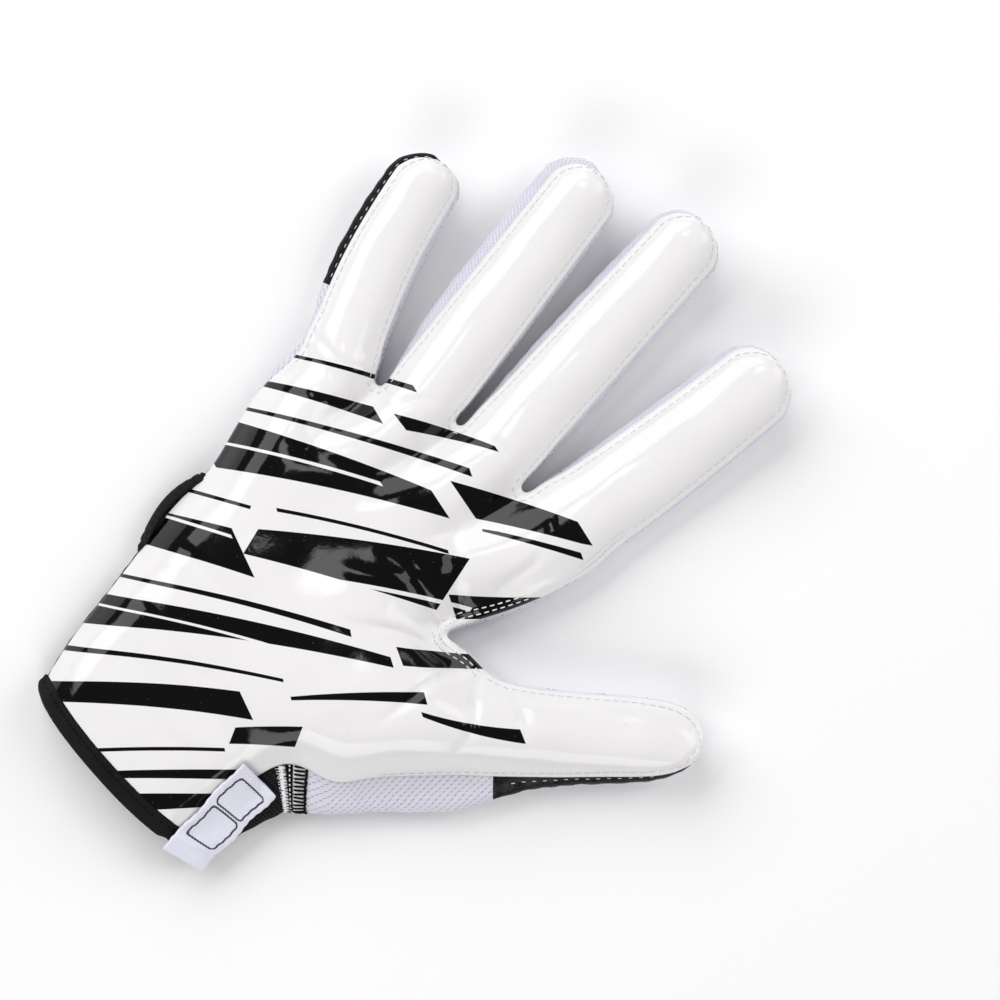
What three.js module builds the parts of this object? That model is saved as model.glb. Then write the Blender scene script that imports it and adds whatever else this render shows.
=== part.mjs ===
// A football receiver glove for a right hand, lying on its back with the palm up.
// Millimetres. X runs to the thumb side, Y to the fingertips and Z up, away from the back of the hand.
// A front sheet and a back sheet share one plan of cells, and side walls join their edges.
import * as THREE from 'three';

// Driving sizes.
const PALM_WIDTH = 97; // across the four finger bases
const PALM_LENGTH = 132; // from the cuff to the root of the middle finger
const PALM_DEPTH = 24; // how high the filled palm stands
const FINGER_REACH = 85; // from root to tip of the middle finger
const FINGER_DEPTH = 13.5; // how high a filled finger stands
const THUMB_REACH = 73; // from the thumb's crotch to the line of its tip
const THUMB_SIDE = 14.5; // how far the knit side of the thumb stands out past the front sheet
const LITTLE_SIDE = 4; // how far the wall on the little finger's side stands out
const BACK_SHARE = 0.6; // how much of the thumb side's reach the back sheet has
const LITTLE_RISE = 0.1; // the back sheet's height at its left edge, of PALM_DEPTH
const TIP_CURL = 6; // how far the fingertips rise
const THUMB_CURL = 0.6; // the thumb tip's rise, of TIP_CURL
const CROTCH_WIDTH = 2.8; // between two finger roots
const FRONT_WALL = 1.2; // the film of the palm
const KNIT_WALL = 1.1; // the knit of the back and the side walls
const SEAM_GAP = 0.3; // between two pieces that are sewn together
const STRAP_WIDTH = 23; // along the arm
const STRAP_WALL = 1.6;
const BINDING_WIDTH = 4.2;
const BINDING_WALL = 2;
const TAB_WIDTH = 11.5;
const TAB_LENGTH = 31;
const TAB_WALL = 1;
const TAB_FEEL = 1.5; // how far round a point of the tab the surface under it counts
const TAB_DROP = 0.5; // how far the tab can fall within one of its cells
const TAB_TOP_ROW = 3; // the palm row that the tab starts from

// A table's rows, each read by the names of its columns.
function table(names, rows) {
  const columns = names.split(' ');
  return rows.map((row) => Object.fromEntries(columns.map((name, k) => [name, row[k]])));
}

// The palm from the cuff to the finger roots. x and y of its left and right edge are shares of the
// palm's width and length. edge, side, middle, mound and web are heights across the row, as shares of
// the palm's depth. little and thumb say how far the walls stand out there, as shares of
// LITTLE_SIDE and THUMB_SIDE, and rise is the back sheet's height at its right edge.
const PALM_COLUMNS = 'leftX leftY rightX rightY edge side middle mound web little thumb rise';
const PALM_ROWS = table(PALM_COLUMNS, [
  [-0.3, -0.69, 0.247, -0.72, 0.38, 0.55, 0.62, 0.57, 0.42, 0.5, 0.98, 0.1],
  [-0.318, -0.636, 0.263, -0.652, 0.38, 0.58, 0.66, 0.61, 0.44, 0.5, 1, 0.1],
  [-0.333, -0.568, 0.28, -0.583, 0.38, 0.6, 0.7, 0.65, 0.46, 0.5, 1.06, 0.1],
  [-0.342, -0.5, 0.297, -0.523, 0.38, 0.62, 0.75, 0.71, 0.5, 0.5, 1.18, 0.1],
  [-0.35, -0.432, 0.34, -0.455, 0.38, 0.65, 0.8, 0.82, 0.58, 0.55, 1.28, 0.1],
  [-0.361, -0.364, 0.371, -0.386, 0.38, 0.68, 0.85, 0.93, 0.86, 0.55, 0, 0],
  [-0.374, -0.299, 0.392, -0.318, 0.38, 0.71, 0.87, 0.97, 0.95, 0.55, 0, 0],
  [-0.384, -0.235, 0.397, -0.25, 0.38, 0.74, 0.87, 0.97, 0.97, 0.5, 0, 0],
  [-0.382, -0.167, 0.397, -0.182, 0.38, 0.75, 0.85, 0.93, 0.92, 0.4, 0, 0],
  [-0.396, -0.102, 0.394, -0.114, 0.38, 0.76, 0.83, 0.85, 0.8, 0.35, 0, 0],
  [-0.42, -0.03, 0.392, -0.049, 0.38, 0.75, 0.81, 0.76, 0.52, 0.35, 0.1, 0.1],
  [-0.438, 0.045, 0.445, 0.03, 0.38, 0.72, 0.79, 0.73, 0.42, 0.45, 0.1, 0.1],
  [-0.438, 0.108, 0.515, 0.133, 0.38, 0.66, 0.74, 0.69, 0.4, 0.75, 0.1, 0.1],
  [-0.445, 0.166, 0.56, 0.235, 0.38, 0.6, 0.66, 0.62, 0.38, 0.95, 0.1, 0.1],
]);
const HEIGHT_COLUMNS = ['edge', 'side', 'middle', 'mound', 'web'];
const HEIGHT_PLACES = [0, 0.13, 0.5, 0.87, 1];
const THUMB_FOOT = 4; // the palm row at the lower end of the thumb's root
const THUMB_CROTCH = 10; // the palm row at the thumb's crotch
const ROOT_ROWS = 3; // the palm rows in which the palm takes the fingers' heights
const CUFF_SAG = -0.016; // how far the cuff's middle hangs below its ends, of PALM_LENGTH

// The crotches between the finger roots, as shares of the palm's width and length.
const CROTCHES = [
  { x: -0.222, y: 0.222 },
  { x: 0.0155, y: 0.279 },
  { x: 0.275, y: 0.273 },
];

// The fingers, from the little finger to the index finger. lean is in degrees towards the little
// finger, reach a share of FINGER_REACH, wide and sway shares of PALM_WIDTH. left and right say how
// far the side walls stand out, as shares of FINGER_DEPTH.
const FINGERS = table('lean reach wide sway left right', [
  [17, 0.72, 0.197, -0.026, 0.28, 0.1],
  [6, 0.927, 0.213, 0, 0.34, 0.08],
  [1.5, 1, 0.215, 0, 0.2, 0.12],
  [-9, 0.892, 0.246, 0.01, 0.16, 0.12],
]);

// A finger from its root to where its tip starts to round. wide is a share of its width, and rim,
// crown and low are the heights of the front sheet's edge and middle and of the back sheet's edge,
// as shares of FINGER_DEPTH. stand is the share of the walls' reach.
const FINGER_COLUMNS = 'along wide rim crown low stand';
const FINGER_ROWS = table(FINGER_COLUMNS, [
  [0, 1.02, 0.68, 1.12, 0.17, 0.1],
  [0.07, 1.02, 0.67, 1.09, 0.16, 0.2],
  [0.16, 1.02, 0.66, 1.05, 0.16, 0.6],
  [0.28, 1.01, 0.66, 1.02, 0.16, 0.9],
  [0.42, 0.99, 0.66, 1, 0.16, 1],
  [0.56, 0.965, 0.66, 0.99, 0.16, 1],
  [0.7, 0.94, 0.66, 0.98, 0.16, 1],
  [0.82, 0.92, 0.66, 0.96, 0.16, 0.9],
]);
const TIP_TURNS = [16, 36, 54, 70, 82]; // where the round of a fingertip is cut into rows, in degrees
const TIP_ROUND = 0.9; // how long the round of a fingertip is, of the finger's half width
const TIP_LOW = 0.3; // how far the back sheet rises round a fingertip, of FINGER_DEPTH
const TIP_FULLNESS = 0.7; // how fast the crown falls round a fingertip
const ROOT_BLEND = 0.2; // the share of a finger in which it takes its own direction and width

// The thumb from its root to its tip. The places of its upper and lower edge, from the crotch, are
// shares of THUMB_REACH, the heights are shares of PALM_DEPTH, and side is a share of THUMB_SIDE.
const THUMB_COLUMNS = 'upX upY lowX lowY upRim crown lowRim side low';
const THUMB_ROWS = table(THUMB_COLUMNS, [
  [0, 0, -0.07, -0.73, 0.52, 0.97, 0.58, 1.28, 0.1],
  [0.09, 0, 0.08, -0.69, 0.46, 0.97, 0.52, 0.92, 0.1],
  [0.165, 0, 0.16, -0.6, 0.42, 0.94, 0.48, 0.9, 0.1],
  [0.25, 0.005, 0.24, -0.51, 0.4, 0.89, 0.45, 0.97, 0.1],
  [0.335, 0.045, 0.325, -0.425, 0.39, 0.83, 0.43, 1, 0.1],
  [0.42, 0.105, 0.41, -0.34, 0.385, 0.77, 0.41, 0.92, 0.1],
  [0.515, 0.18, 0.5, -0.26, 0.38, 0.72, 0.4, 0.66, 0.1],
  [0.6, 0.25, 0.59, -0.175, 0.38, 0.67, 0.39, 0.42, 0.1],
  [0.685, 0.32, 0.68, -0.09, 0.38, 0.63, 0.38, 0.3, 0.1],
  [0.77, 0.38, 0.77, 0, 0.38, 0.6, 0.38, 0.26, 0.1],
  [0.845, 0.413, 0.852, 0.08, 0.38, 0.57, 0.38, 0.24, 0.1],
  [0.91, 0.413, 0.92, 0.15, 0.38, 0.53, 0.38, 0.2, 0.12],
  [0.962, 0.388, 0.968, 0.215, 0.38, 0.48, 0.38, 0.16, 0.14],
  [0.99, 0.345, 0.992, 0.275, 0.38, 0.42, 0.38, 0.12, 0.16],
]);
const THUMB_STRIP_END = 6; // the thumb row where the black strip ends
const THUMB_FOOT_TURN = -44; // which way the wall stands out below the thumb's foot, in degrees from X
const THUMB_BLEND_ROWS = 3; // the palm rows in which it turns there
const THUMB_TIP_STAND = 0.1; // how far the thumb's upper wall stands out, of THUMB_SIDE

// Dents and ridges pressed into the front sheet. x and y are shares of the palm's width and length,
// long and wide shares of PALM_WIDTH, rise a share of PALM_DEPTH, and turn is in degrees from X.
const FOLD_COLUMNS = 'x y turn long wide rise';
const FOLDS = table(FOLD_COLUMNS, [
  [0.36, 0, 62, 0.2, 0.07, -0.1],
  [0.46, -0.09, -8, 0.18, 0.045, -0.07],
  [0.5, 0.12, 70, 0.16, 0.035, 0.05],
  [-0.4, 0.17, 18, 0.12, 0.05, -0.07],
  [-0.3, 0.21, 16, 0.16, 0.03, 0.04],
  [-0.05, -0.02, 20, 0.34, 0.13, -0.06],
  [0.08, -0.5, 8, 0.22, 0.06, -0.04],
]);

// The strap lies in a hollow of the back sheet. Its place along the arm is told in palm rows.
const STRAP_MIDDLE_ROW = 6.62;
const STRAP_START = 0.78; // where it begins on the back, as a share of the palm's columns
const ROW_PITCH = 0.0665; // between two palm rows near the strap, as a share of PALM_LENGTH
const STRAP_HALF_ROWS = STRAP_WIDTH / 2 / (ROW_PITCH * PALM_LENGTH);
const HOLLOW_EDGE = 0.05; // how far past the strap its hollow keeps its depth, in rows
const HOLLOW_END = 0.7; // and how far past the strap it ends
const HOLLOW_FADE = 3; // the thumb rows in which the hollow ends
const STRAP_TAPER = 0.2; // how much narrower the strap's first end is

// How the plan is cut into cells, and how the side walls are cut across.
const FINGER_CELLS = 5;
const WALL_CELLS = 4;
const TAB_CELLS = [4, 10];
const CUT_SPACE = 0.35; // the least space between two of the palm's cuts, in rows
const SEAM_SPACE = 0.2; // the least space between a seam and the next stop of the walls
const LAST_ROW = PALM_ROWS.length - 1;
const COLUMNS = FINGERS.length * FINGER_CELLS + CROTCHES.length;
const THUMB_LAST = THUMB_ROWS.length - 1;

const lerp = (a, b, t) => a + (b - a) * t;
const mix = (a, b, t) => a.map((value, k) => lerp(value, b[k], t));
const plus = (a, b, size = 1) => a.map((value, k) => value + size * b[k]);
const unit = (a) => a.map((value) => value / Math.hypot(...a));
const ease = (from, to, t) => THREE.MathUtils.smoothstep(t, from, to);
const turned = (degrees) => {
  const turn = THREE.MathUtils.degToRad(degrees);
  return [Math.cos(turn), Math.sin(turn)];
};

// A smooth curve through (places, values), read at one place.
function through(places, values, at) {
  let k = 0;
  while (k < places.length - 2 && at > places[k + 1]) k += 1;
  const slope = (i) => {
    const before = Math.max(i - 1, 0);
    const after = Math.min(i + 1, places.length - 1);
    return (values[after] - values[before]) / (places[after] - places[before]);
  };
  const span = places[k + 1] - places[k];
  const t = (at - places[k]) / span;
  const start = values[k] * (1 + 2 * t) * (1 - t) ** 2 + span * slope(k) * t * (1 - t) ** 2;
  const end = values[k + 1] * t * t * (3 - 2 * t) + span * slope(k + 1) * t * t * (t - 1);
  return start + end;
}

// The height across a rounded row, from 0 at its edges to 1 along its middle.
const FULLNESS = 2.3; // 2 makes a row's section a parabola
const hump = (across) => 1 - Math.abs(2 * across - 1) ** FULLNESS;

// The height of the back sheet across a row: flat in the middle, 1 at its edges.
const FLAT_SHARE = 0.45;
const turnUp = (across) => {
  const past = Math.max(0, Math.abs(2 * across - 1) - FLAT_SHARE);
  return (past / (1 - FLAT_SHARE)) ** 2;
};

// The share of a digit's curl that its row has: little at first, and all of it at the tip.
const CURL_POWER = 2.2;
const curl = (along) => along ** CURL_POWER;

function foldHeight(x, y) {
  return FOLDS.reduce((sum, fold) => {
    const [c, s] = turned(fold.turn);
    const dx = x - fold.x * PALM_WIDTH;
    const dy = y - fold.y * PALM_LENGTH;
    const along = (c * dx + s * dy) / (fold.long * PALM_WIDTH);
    const across = (c * dy - s * dx) / (fold.wide * PALM_WIDTH);
    return sum + fold.rise * PALM_DEPTH * Math.exp(-along * along - across * across);
  }, 0);
}

// The rows that the palm is cut at: the table's own, and those at the edges of the strap's hollow.
function palmCuts() {
  const first = STRAP_MIDDLE_ROW - STRAP_HALF_ROWS;
  const last = STRAP_MIDDLE_ROW + STRAP_HALF_ROWS;
  const edges = [first - HOLLOW_END, first - HOLLOW_EDGE, last + HOLLOW_EDGE, last + HOLLOW_END];
  const fixed = [0, THUMB_FOOT, THUMB_CROTCH, LAST_ROW];
  const isClear = (row) => edges.every((edge) => Math.abs(edge - row) > CUT_SPACE);
  const whole = PALM_ROWS.map((_, row) => row).filter((row) => fixed.includes(row) || isClear(row));
  return [...whole, ...edges].sort((a, b) => a - b);
}
const CUTS = palmCuts();
const THUMB_CUTS = CUTS.filter((row) => row >= THUMB_FOOT && row <= THUMB_CROTCH).reverse();
const THUMB_CELLS = THUMB_CUTS.length - 1;

// The two ends of each finger's root.
function fingerRoots() {
  const last = PALM_ROWS[LAST_ROW];
  const ends = [
    [last.leftX * PALM_WIDTH, last.leftY * PALM_LENGTH],
    ...CROTCHES.map((crotch) => [crotch.x * PALM_WIDTH, crotch.y * PALM_LENGTH]),
    [last.rightX * PALM_WIDTH, last.rightY * PALM_LENGTH],
  ];
  return FINGERS.map((finger, f) => {
    const along = unit(plus(ends[f + 1], ends[f], -1));
    const leftGap = f === 0 ? 0 : CROTCH_WIDTH / 2;
    const rightGap = f === FINGERS.length - 1 ? 0 : CROTCH_WIDTH / 2;
    return [plus(ends[f], along, leftGap), plus(ends[f + 1], along, -rightGap)];
  });
}
const ROOTS = fingerRoots();

// The rows of one finger, with its round tip worked out from its width.
function fingerSections(finger) {
  const reach = finger.reach * FINGER_REACH;
  const last = FINGER_ROWS[FINGER_ROWS.length - 1];
  const radius = (finger.wide * PALM_WIDTH * last.wide * TIP_ROUND) / 2;
  const start = 1 - radius / reach;
  const body = FINGER_ROWS.map((row) => ({ ...row, along: (row.along * start) / last.along, round: 1 }));
  const tip = TIP_TURNS.map((degrees) => {
    const [c, s] = turned(degrees);
    return { ...last, along: start + (s * radius) / reach, wide: last.wide * c, round: c };
  });
  return [...body, ...tip];
}
const SECTIONS = FINGERS.map(fingerSections);
const FINGER_LAST = SECTIONS[0].length - 1;

// How far a finger's side wall stands out past the front sheet.
const sideStand = (f, section, side) => FINGERS[f][side] * FINGER_DEPTH * section.stand;

// One point of a finger. The back sheet reaches half as far out as the side walls.
function fingerPoint(f, row, across, isBack) {
  const finger = FINGERS[f];
  const section = SECTIONS[f][row];
  const [left, right] = ROOTS[f];
  const square = turned(finger.lean);
  const axis = [-square[1], square[0]];
  const free = row === 0 ? 0 : ease(0, ROOT_BLEND, section.along);
  const flat = unit(mix(unit(plus(right, left, -1)), square, free));
  const rootWidth = Math.hypot(right[0] - left[0], right[1] - left[1]);
  const width = lerp(rootWidth, finger.wide * PALM_WIDTH, free) * (row === 0 ? 1 : section.wide);
  const reach = finger.reach * FINGER_REACH * section.along;
  const sway = finger.sway * PALM_WIDTH * Math.sin(Math.PI * section.along);
  const middle = plus(plus(mix(left, right, 0.5), axis, reach), square, sway);
  const out = isBack ? sideStand(f, section, across < 0.5 ? 'left' : 'right') / 2 : 0;
  const offset = (across - 0.5) * (width + 2 * out);
  const [x, y] = plus(middle, flat, offset);
  const lift = TIP_CURL * curl(section.along);
  if (isBack) {
    const tipRise = (1 - section.round) * TIP_LOW;
    return [x, y, lift + FINGER_DEPTH * (tipRise + section.low * turnUp(across))];
  }
  const crown = (section.crown - section.rim) * section.round ** TIP_FULLNESS;
  return [x, y, lift + FINGER_DEPTH * (section.rim + crown * hump(across)) + foldHeight(x, y)];
}

// The point of a finger's root, or of a crotch's end, that a column of the palm runs to.
function rootPoint(column, isBack) {
  const f = Math.min(Math.floor(column / (FINGER_CELLS + 1)), FINGERS.length - 1);
  return fingerPoint(f, 0, (column - f * (FINGER_CELLS + 1)) / FINGER_CELLS, isBack);
}

// How far the back sheet is hollowed for the strap, so that both rest on one plane.
function strapHollow(row) {
  const past = Math.abs(row - STRAP_MIDDLE_ROW) - STRAP_HALF_ROWS;
  return (STRAP_WALL + SEAM_GAP) * (1 - ease(HOLLOW_EDGE, HOLLOW_END, past));
}

const TABLE_ROWS = PALM_ROWS.map((_, row) => row);
const readPalm = (name, row) => through(TABLE_ROWS, PALM_ROWS.map((entry) => entry[name]), row);

// Which way the thumb side's wall stands out: square to the cuff, and slanted at the thumb's foot.
const thumbOut = (row) => turned(THUMB_FOOT_TURN * ease(THUMB_FOOT - THUMB_BLEND_ROWS, THUMB_FOOT, row));

// One point of the palm, at a whole or part row.
function palmPoint(column, row, isBack) {
  const root = rootPoint(column, isBack);
  if (row === LAST_ROW) return root;
  let left = [readPalm('leftX', row) * PALM_WIDTH, readPalm('leftY', row) * PALM_LENGTH];
  let right = [readPalm('rightX', row) * PALM_WIDTH, readPalm('rightY', row) * PALM_LENGTH];
  if (isBack) {
    left = plus(left, [-1, 0], (readPalm('little', row) * LITTLE_SIDE) / 2);
    right = plus(right, thumbOut(row), readPalm('thumb', row) * THUMB_SIDE * BACK_SHARE);
  }
  const start = rootPoint(0, isBack);
  const end = rootPoint(COLUMNS, isBack);
  const across = (root[0] - start[0]) / (end[0] - start[0]);
  const up = row / LAST_ROW;
  const arch = (root[1] - lerp(start[1], end[1], across)) * up ** 3;
  const sag = CUFF_SAG * PALM_LENGTH * hump(across) * (1 - up) ** 2;
  const [x, y] = plus(mix(left, right, across), [0, arch + sag]);
  const blend = ease(LAST_ROW - ROOT_ROWS, LAST_ROW, row);
  if (isBack) {
    const edge = across < 0.5 ? LITTLE_RISE : readPalm('rise', row);
    return [x, y, lerp(PALM_DEPTH * edge * turnUp(across), root[2], blend) + strapHollow(row)];
  }
  const heights = HEIGHT_COLUMNS.map((name) => readPalm(name, row));
  const own = PALM_DEPTH * through(HEIGHT_PLACES, heights, across) + foldHeight(x, y);
  return [x, y, lerp(own, root[2], blend)];
}

// One point of the thumb. Its cells carry on from the palm's rows between foot and crotch.
function thumbPoint(cell, row, isBack) {
  if (row === 0) return palmPoint(COLUMNS, THUMB_CUTS[cell], isBack);
  const section = THUMB_ROWS[row];
  const across = (THUMB_CROTCH - THUMB_CUTS[cell]) / (THUMB_CROTCH - THUMB_FOOT);
  const crotch = palmPoint(COLUMNS, THUMB_CROTCH, false).slice(0, 2);
  const up = plus(crotch, [section.upX, section.upY], THUMB_REACH);
  let low = plus(crotch, [section.lowX, section.lowY], THUMB_REACH);
  if (isBack) low = plus(low, thumbOut(THUMB_FOOT), section.side * THUMB_SIDE * BACK_SHARE);
  const [x, y] = mix(up, low, across);
  const lift = THUMB_CURL * TIP_CURL * curl(row / THUMB_LAST);
  if (isBack) {
    const hollow = strapHollow(THUMB_CUTS[cell]) * (1 - ease(0, HOLLOW_FADE, row));
    return [x, y, lift + hollow + PALM_DEPTH * section.low * turnUp(across)];
  }
  const rim = lerp(section.upRim, section.lowRim, across);
  const height = PALM_DEPTH * (rim + (section.crown - rim) * hump(across));
  return [x, y, lift + height + foldHeight(x, y)];
}

// A sheet cut into four-sided cells that share their corners. cells holds which parts it has.
function makeSheet(isBack, rows, withDigits) {
  const places = new Map();
  const points = [];
  const cells = [];
  const corner = (place, make) => {
    if (!places.has(place)) {
      places.set(place, points.length);
      points.push(make());
    }
    return places.get(place);
  };
  const palm = (c, row) => corner(`palm ${c} ${row}`, () => palmPoint(c, row, isBack));
  const finger = (f, c, r) => {
    if (r === 0) return palm(f * (FINGER_CELLS + 1) + c, LAST_ROW);
    return corner(`finger ${f} ${c} ${r}`, () => fingerPoint(f, r, c / FINGER_CELLS, isBack));
  };
  const thumb = (c, r) => {
    if (r === 0) return palm(COLUMNS, THUMB_CUTS[c]);
    return corner(`thumb ${c} ${r}`, () => thumbPoint(c, r, isBack));
  };
  const addCells = (at, across, along) => {
    for (let c = 0; c < across; c += 1) {
      for (let r = 0; r < along; r += 1) {
        const cell = [at(c, r), at(c + 1, r), at(c + 1, r + 1), at(c, r + 1)];
        cells.push(isBack ? cell.reverse() : cell);
      }
    }
  };
  addCells((c, r) => palm(c, rows[r]), COLUMNS, rows.length - 1);
  if (withDigits) {
    FINGERS.forEach((_, f) => addCells((c, r) => finger(f, c, r), FINGER_CELLS, FINGER_LAST));
    addCells(thumb, THUMB_CELLS, THUMB_LAST);
  }
  return { places, points, cells, normals: normalsOf(points, cells) };
}

// The direction that each corner of a sheet faces.
function normalsOf(points, cells) {
  const sums = points.map(() => new THREE.Vector3());
  cells.forEach((cell) => {
    const [a, b, c, d] = cell.map((k) => new THREE.Vector3(...points[k]));
    const facing = c.sub(a).cross(d.sub(b));
    cell.forEach((k) => sums[k].add(facing));
  });
  return sums.map((sum) => sum.normalize().toArray());
}

// One closed solid between an outer and an inner layer of the same cells.
function solidBetween(outer, inner, cells) {
  const kept = [...new Set(cells.flat())];
  const number = new Map(kept.map((k, i) => [k, i]));
  const positions = [...kept.map((k) => outer[k]), ...kept.map((k) => inner[k])].flat();
  const triangles = [];
  const addCell = (a, b, c, d) => triangles.push(a, b, c, a, c, d);
  const edges = new Set(cells.flatMap((cell) => cell.map((k, i) => `${k} ${cell[(i + 1) % 4]}`)));
  cells.forEach((cell) => {
    const [a, b, c, d] = cell.map((k) => number.get(k));
    const under = kept.length;
    addCell(a, b, c, d);
    addCell(d + under, c + under, b + under, a + under);
    cell.forEach((from, i) => {
      const to = cell[(i + 1) % 4];
      if (edges.has(`${to} ${from}`)) return;
      const [m, n] = [number.get(from), number.get(to)];
      addCell(n, m, m + under, n + under);
    });
  });
  const geometry = new THREE.BufferGeometry();
  geometry.setAttribute('position', new THREE.Float32BufferAttribute(positions, 3));
  geometry.setIndex(triangles);
  geometry.computeVertexNormals();
  return geometry;
}

const FILM = { color: 0xf0efee, roughness: 0.12, metalness: 0 };
const KNIT = { color: 0xd6d5ec, roughness: 0.9, metalness: 0 };
const BLACK_CLOTH = { color: 0x1c1c1e, roughness: 0.7, metalness: 0 };
const BLACK_FILM = { color: 0x151517, roughness: 0.2, metalness: 0 };
const WOVEN_TAB = { color: 0xe9e8f6, roughness: 0.8, metalness: 0 };

const group = new THREE.Group();

function addPiece(name, geometry, finish) {
  const mesh = new THREE.Mesh(geometry, new THREE.MeshStandardMaterial(finish));
  mesh.name = name;
  group.add(mesh);
  return mesh;
}

const inward = (points, normals, wall) => points.map((point, k) => plus(point, normals[k], -wall));

// The front: one sheet of film over the palm, the fingers and the thumb.
const front = makeSheet(false, CUTS, true);
const frontInner = inward(front.points, front.normals, FRONT_WALL);
const palmPanel = addPiece('palm_panel', solidBetween(front.points, frontInner, front.cells), FILM);

// The back: the knit of the hand and its digits, and the black cloth of the wrist below it.
const back = makeSheet(true, CUTS, true);
const backInner = inward(back.points, back.normals, KNIT_WALL);
const handRows = CUTS.filter((row) => row >= THUMB_FOOT);
const wristRows = CUTS.filter((row) => row < THUMB_FOOT);
const seamRow = THUMB_FOOT - SEAM_GAP / (ROW_PITCH * PALM_LENGTH);
const hand = makeSheet(true, handRows, true);
const wrist = makeSheet(true, [...wristRows, seamRow], false);
for (const [name, sheet, finish] of [['back_panel', hand, KNIT], ['cuff_back', wrist, BLACK_CLOTH]]) {
  const inner = inward(sheet.points, sheet.normals, KNIT_WALL);
  addPiece(name, solidBetween(sheet.points, inner, sheet.cells), finish);
}

// The side walls run once round the glove, from the cuff's little-finger side to its thumb side.
// Each stop of the run says which corner of the sheets it stands at and how far the wall bulges.
function wallRun() {
  const stops = [];
  const littleBulge = (row) => (readPalm('little', row) * LITTLE_SIDE) / 2;
  const thumbBulge = (share) => share * THUMB_SIDE * (1 - BACK_SHARE);
  const addStop = (place, bulge) => stops.push({ place, bulge });
  CUTS.forEach((row) => addStop(`palm 0 ${row}`, littleBulge(row)));
  FINGERS.forEach((_, f) => {
    const bulge = (r, side) => sideStand(f, SECTIONS[f][r], side) / 2;
    const rows = SECTIONS[f].map((section, r) => r).slice(1);
    rows.forEach((r) => addStop(`finger ${f} 0 ${r}`, bulge(r, 'left')));
    for (let c = 1; c < FINGER_CELLS; c += 1) {
      const round = lerp(bulge(FINGER_LAST, 'left'), bulge(FINGER_LAST, 'right'), c / FINGER_CELLS);
      addStop(`finger ${f} ${c} ${FINGER_LAST}`, round);
    }
    rows.reverse().forEach((r) => addStop(`finger ${f} ${FINGER_CELLS} ${r}`, bulge(r, 'right')));
    const last = f * (FINGER_CELLS + 1) + FINGER_CELLS;
    addStop(`palm ${last} ${LAST_ROW}`, bulge(0, 'right'));
    if (f === FINGERS.length - 1) return;
    addStop(`palm ${last + 1} ${LAST_ROW}`, sideStand(f + 1, SECTIONS[f + 1][0], 'left') / 2);
  });
  const addRight = (row) => addStop(`palm ${COLUMNS} ${row}`, thumbBulge(readPalm('thumb', row)));
  const above = CUTS.filter((row) => row >= THUMB_CROTCH && row < LAST_ROW).reverse();
  const below = CUTS.filter((row) => row <= THUMB_FOOT).reverse();
  const digitRows = THUMB_ROWS.map((_, r) => r).slice(1);
  above.forEach(addRight);
  digitRows.forEach((r) => addStop(`thumb 0 ${r}`, thumbBulge(THUMB_TIP_STAND)));
  for (let c = 1; c < THUMB_CELLS; c += 1) {
    addStop(`thumb ${c} ${THUMB_LAST}`, thumbBulge(THUMB_TIP_STAND));
  }
  digitRows.reverse().forEach((r) => {
    addStop(`thumb ${THUMB_CELLS} ${r}`, thumbBulge(THUMB_ROWS[r].side));
  });
  below.forEach(addRight);
  return stops.map((stop) => ({
    ...stop,
    top: plus(frontInner[front.places.get(stop.place)], [0, 0, -SEAM_GAP]),
    foot: plus(backInner[back.places.get(stop.place)], [0, 0, SEAM_GAP]),
  }));
}
const run = wallRun();
const stopAt = (place) => run.findIndex((stop) => stop.place === place);
const tipOf = (start, cells) => stopAt(start) + cells / 2;

// The place of one point of the walls: stop is a whole or part number along the run, and down is 0
// at the front sheet and 1 at the back sheet.
function wallPoint(stop, down) {
  const before = Math.max(0, Math.min(Math.floor(stop), run.length - 2));
  const [a, b] = [run[before], run[before + 1]];
  const t = stop - before;
  const outAt = (k) => {
    const [p, q] = [run[Math.max(k - 1, 0)].top, run[Math.min(k + 1, run.length - 1)].top];
    const [x, y] = unit([q[0] - p[0], q[1] - p[1]]);
    return [-y, x, 0];
  };
  const out = unit(mix(outAt(before), outAt(before + 1), t));
  const base = mix(mix(a.top, b.top, t), mix(a.foot, b.foot, t), down);
  return plus(base, out, lerp(a.bulge, b.bulge, t) * Math.sin(Math.PI * down));
}

// Each wall piece ends where the next one starts, with a seam's gap between them.
const strapEnd = STRAP_MIDDLE_ROW + STRAP_HALF_ROWS + HOLLOW_END;
const WALLS = [
  { name: 'wrist_side', end: `palm 0 ${CUTS.find((row) => row >= strapEnd)}`, finish: BLACK_CLOTH },
  { name: 'hand_side_mesh', end: 'finger 0 0 3', finish: KNIT },
  { name: 'pinky_side_strip', end: 'tip 0', finish: BLACK_FILM },
  { name: 'gusset_pinky_ring', end: 'tip 1', finish: KNIT },
  { name: 'gusset_ring_middle', end: 'tip 2', finish: KNIT },
  { name: 'gusset_middle_index', end: 'tip 3', finish: KNIT },
  { name: 'thumb_gusset', end: 'thumb tip', finish: KNIT },
  { name: 'thumb_side_strip', end: `thumb ${THUMB_CELLS} ${THUMB_STRIP_END}`, finish: BLACK_FILM },
  { name: 'thumb_side_mesh', end: `palm ${COLUMNS} ${THUMB_FOOT}`, finish: KNIT },
  { name: 'wrist_elastic', end: 'cuff', finish: BLACK_CLOTH },
];

function wallEnd(end) {
  if (end === 'cuff') return run.length - 1;
  if (end === 'thumb tip') return tipOf(`thumb 0 ${THUMB_LAST}`, THUMB_CELLS);
  if (end.startsWith('tip')) return tipOf(`finger ${end.slice(4)} 0 ${FINGER_LAST}`, FINGER_CELLS);
  return stopAt(end);
}

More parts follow.
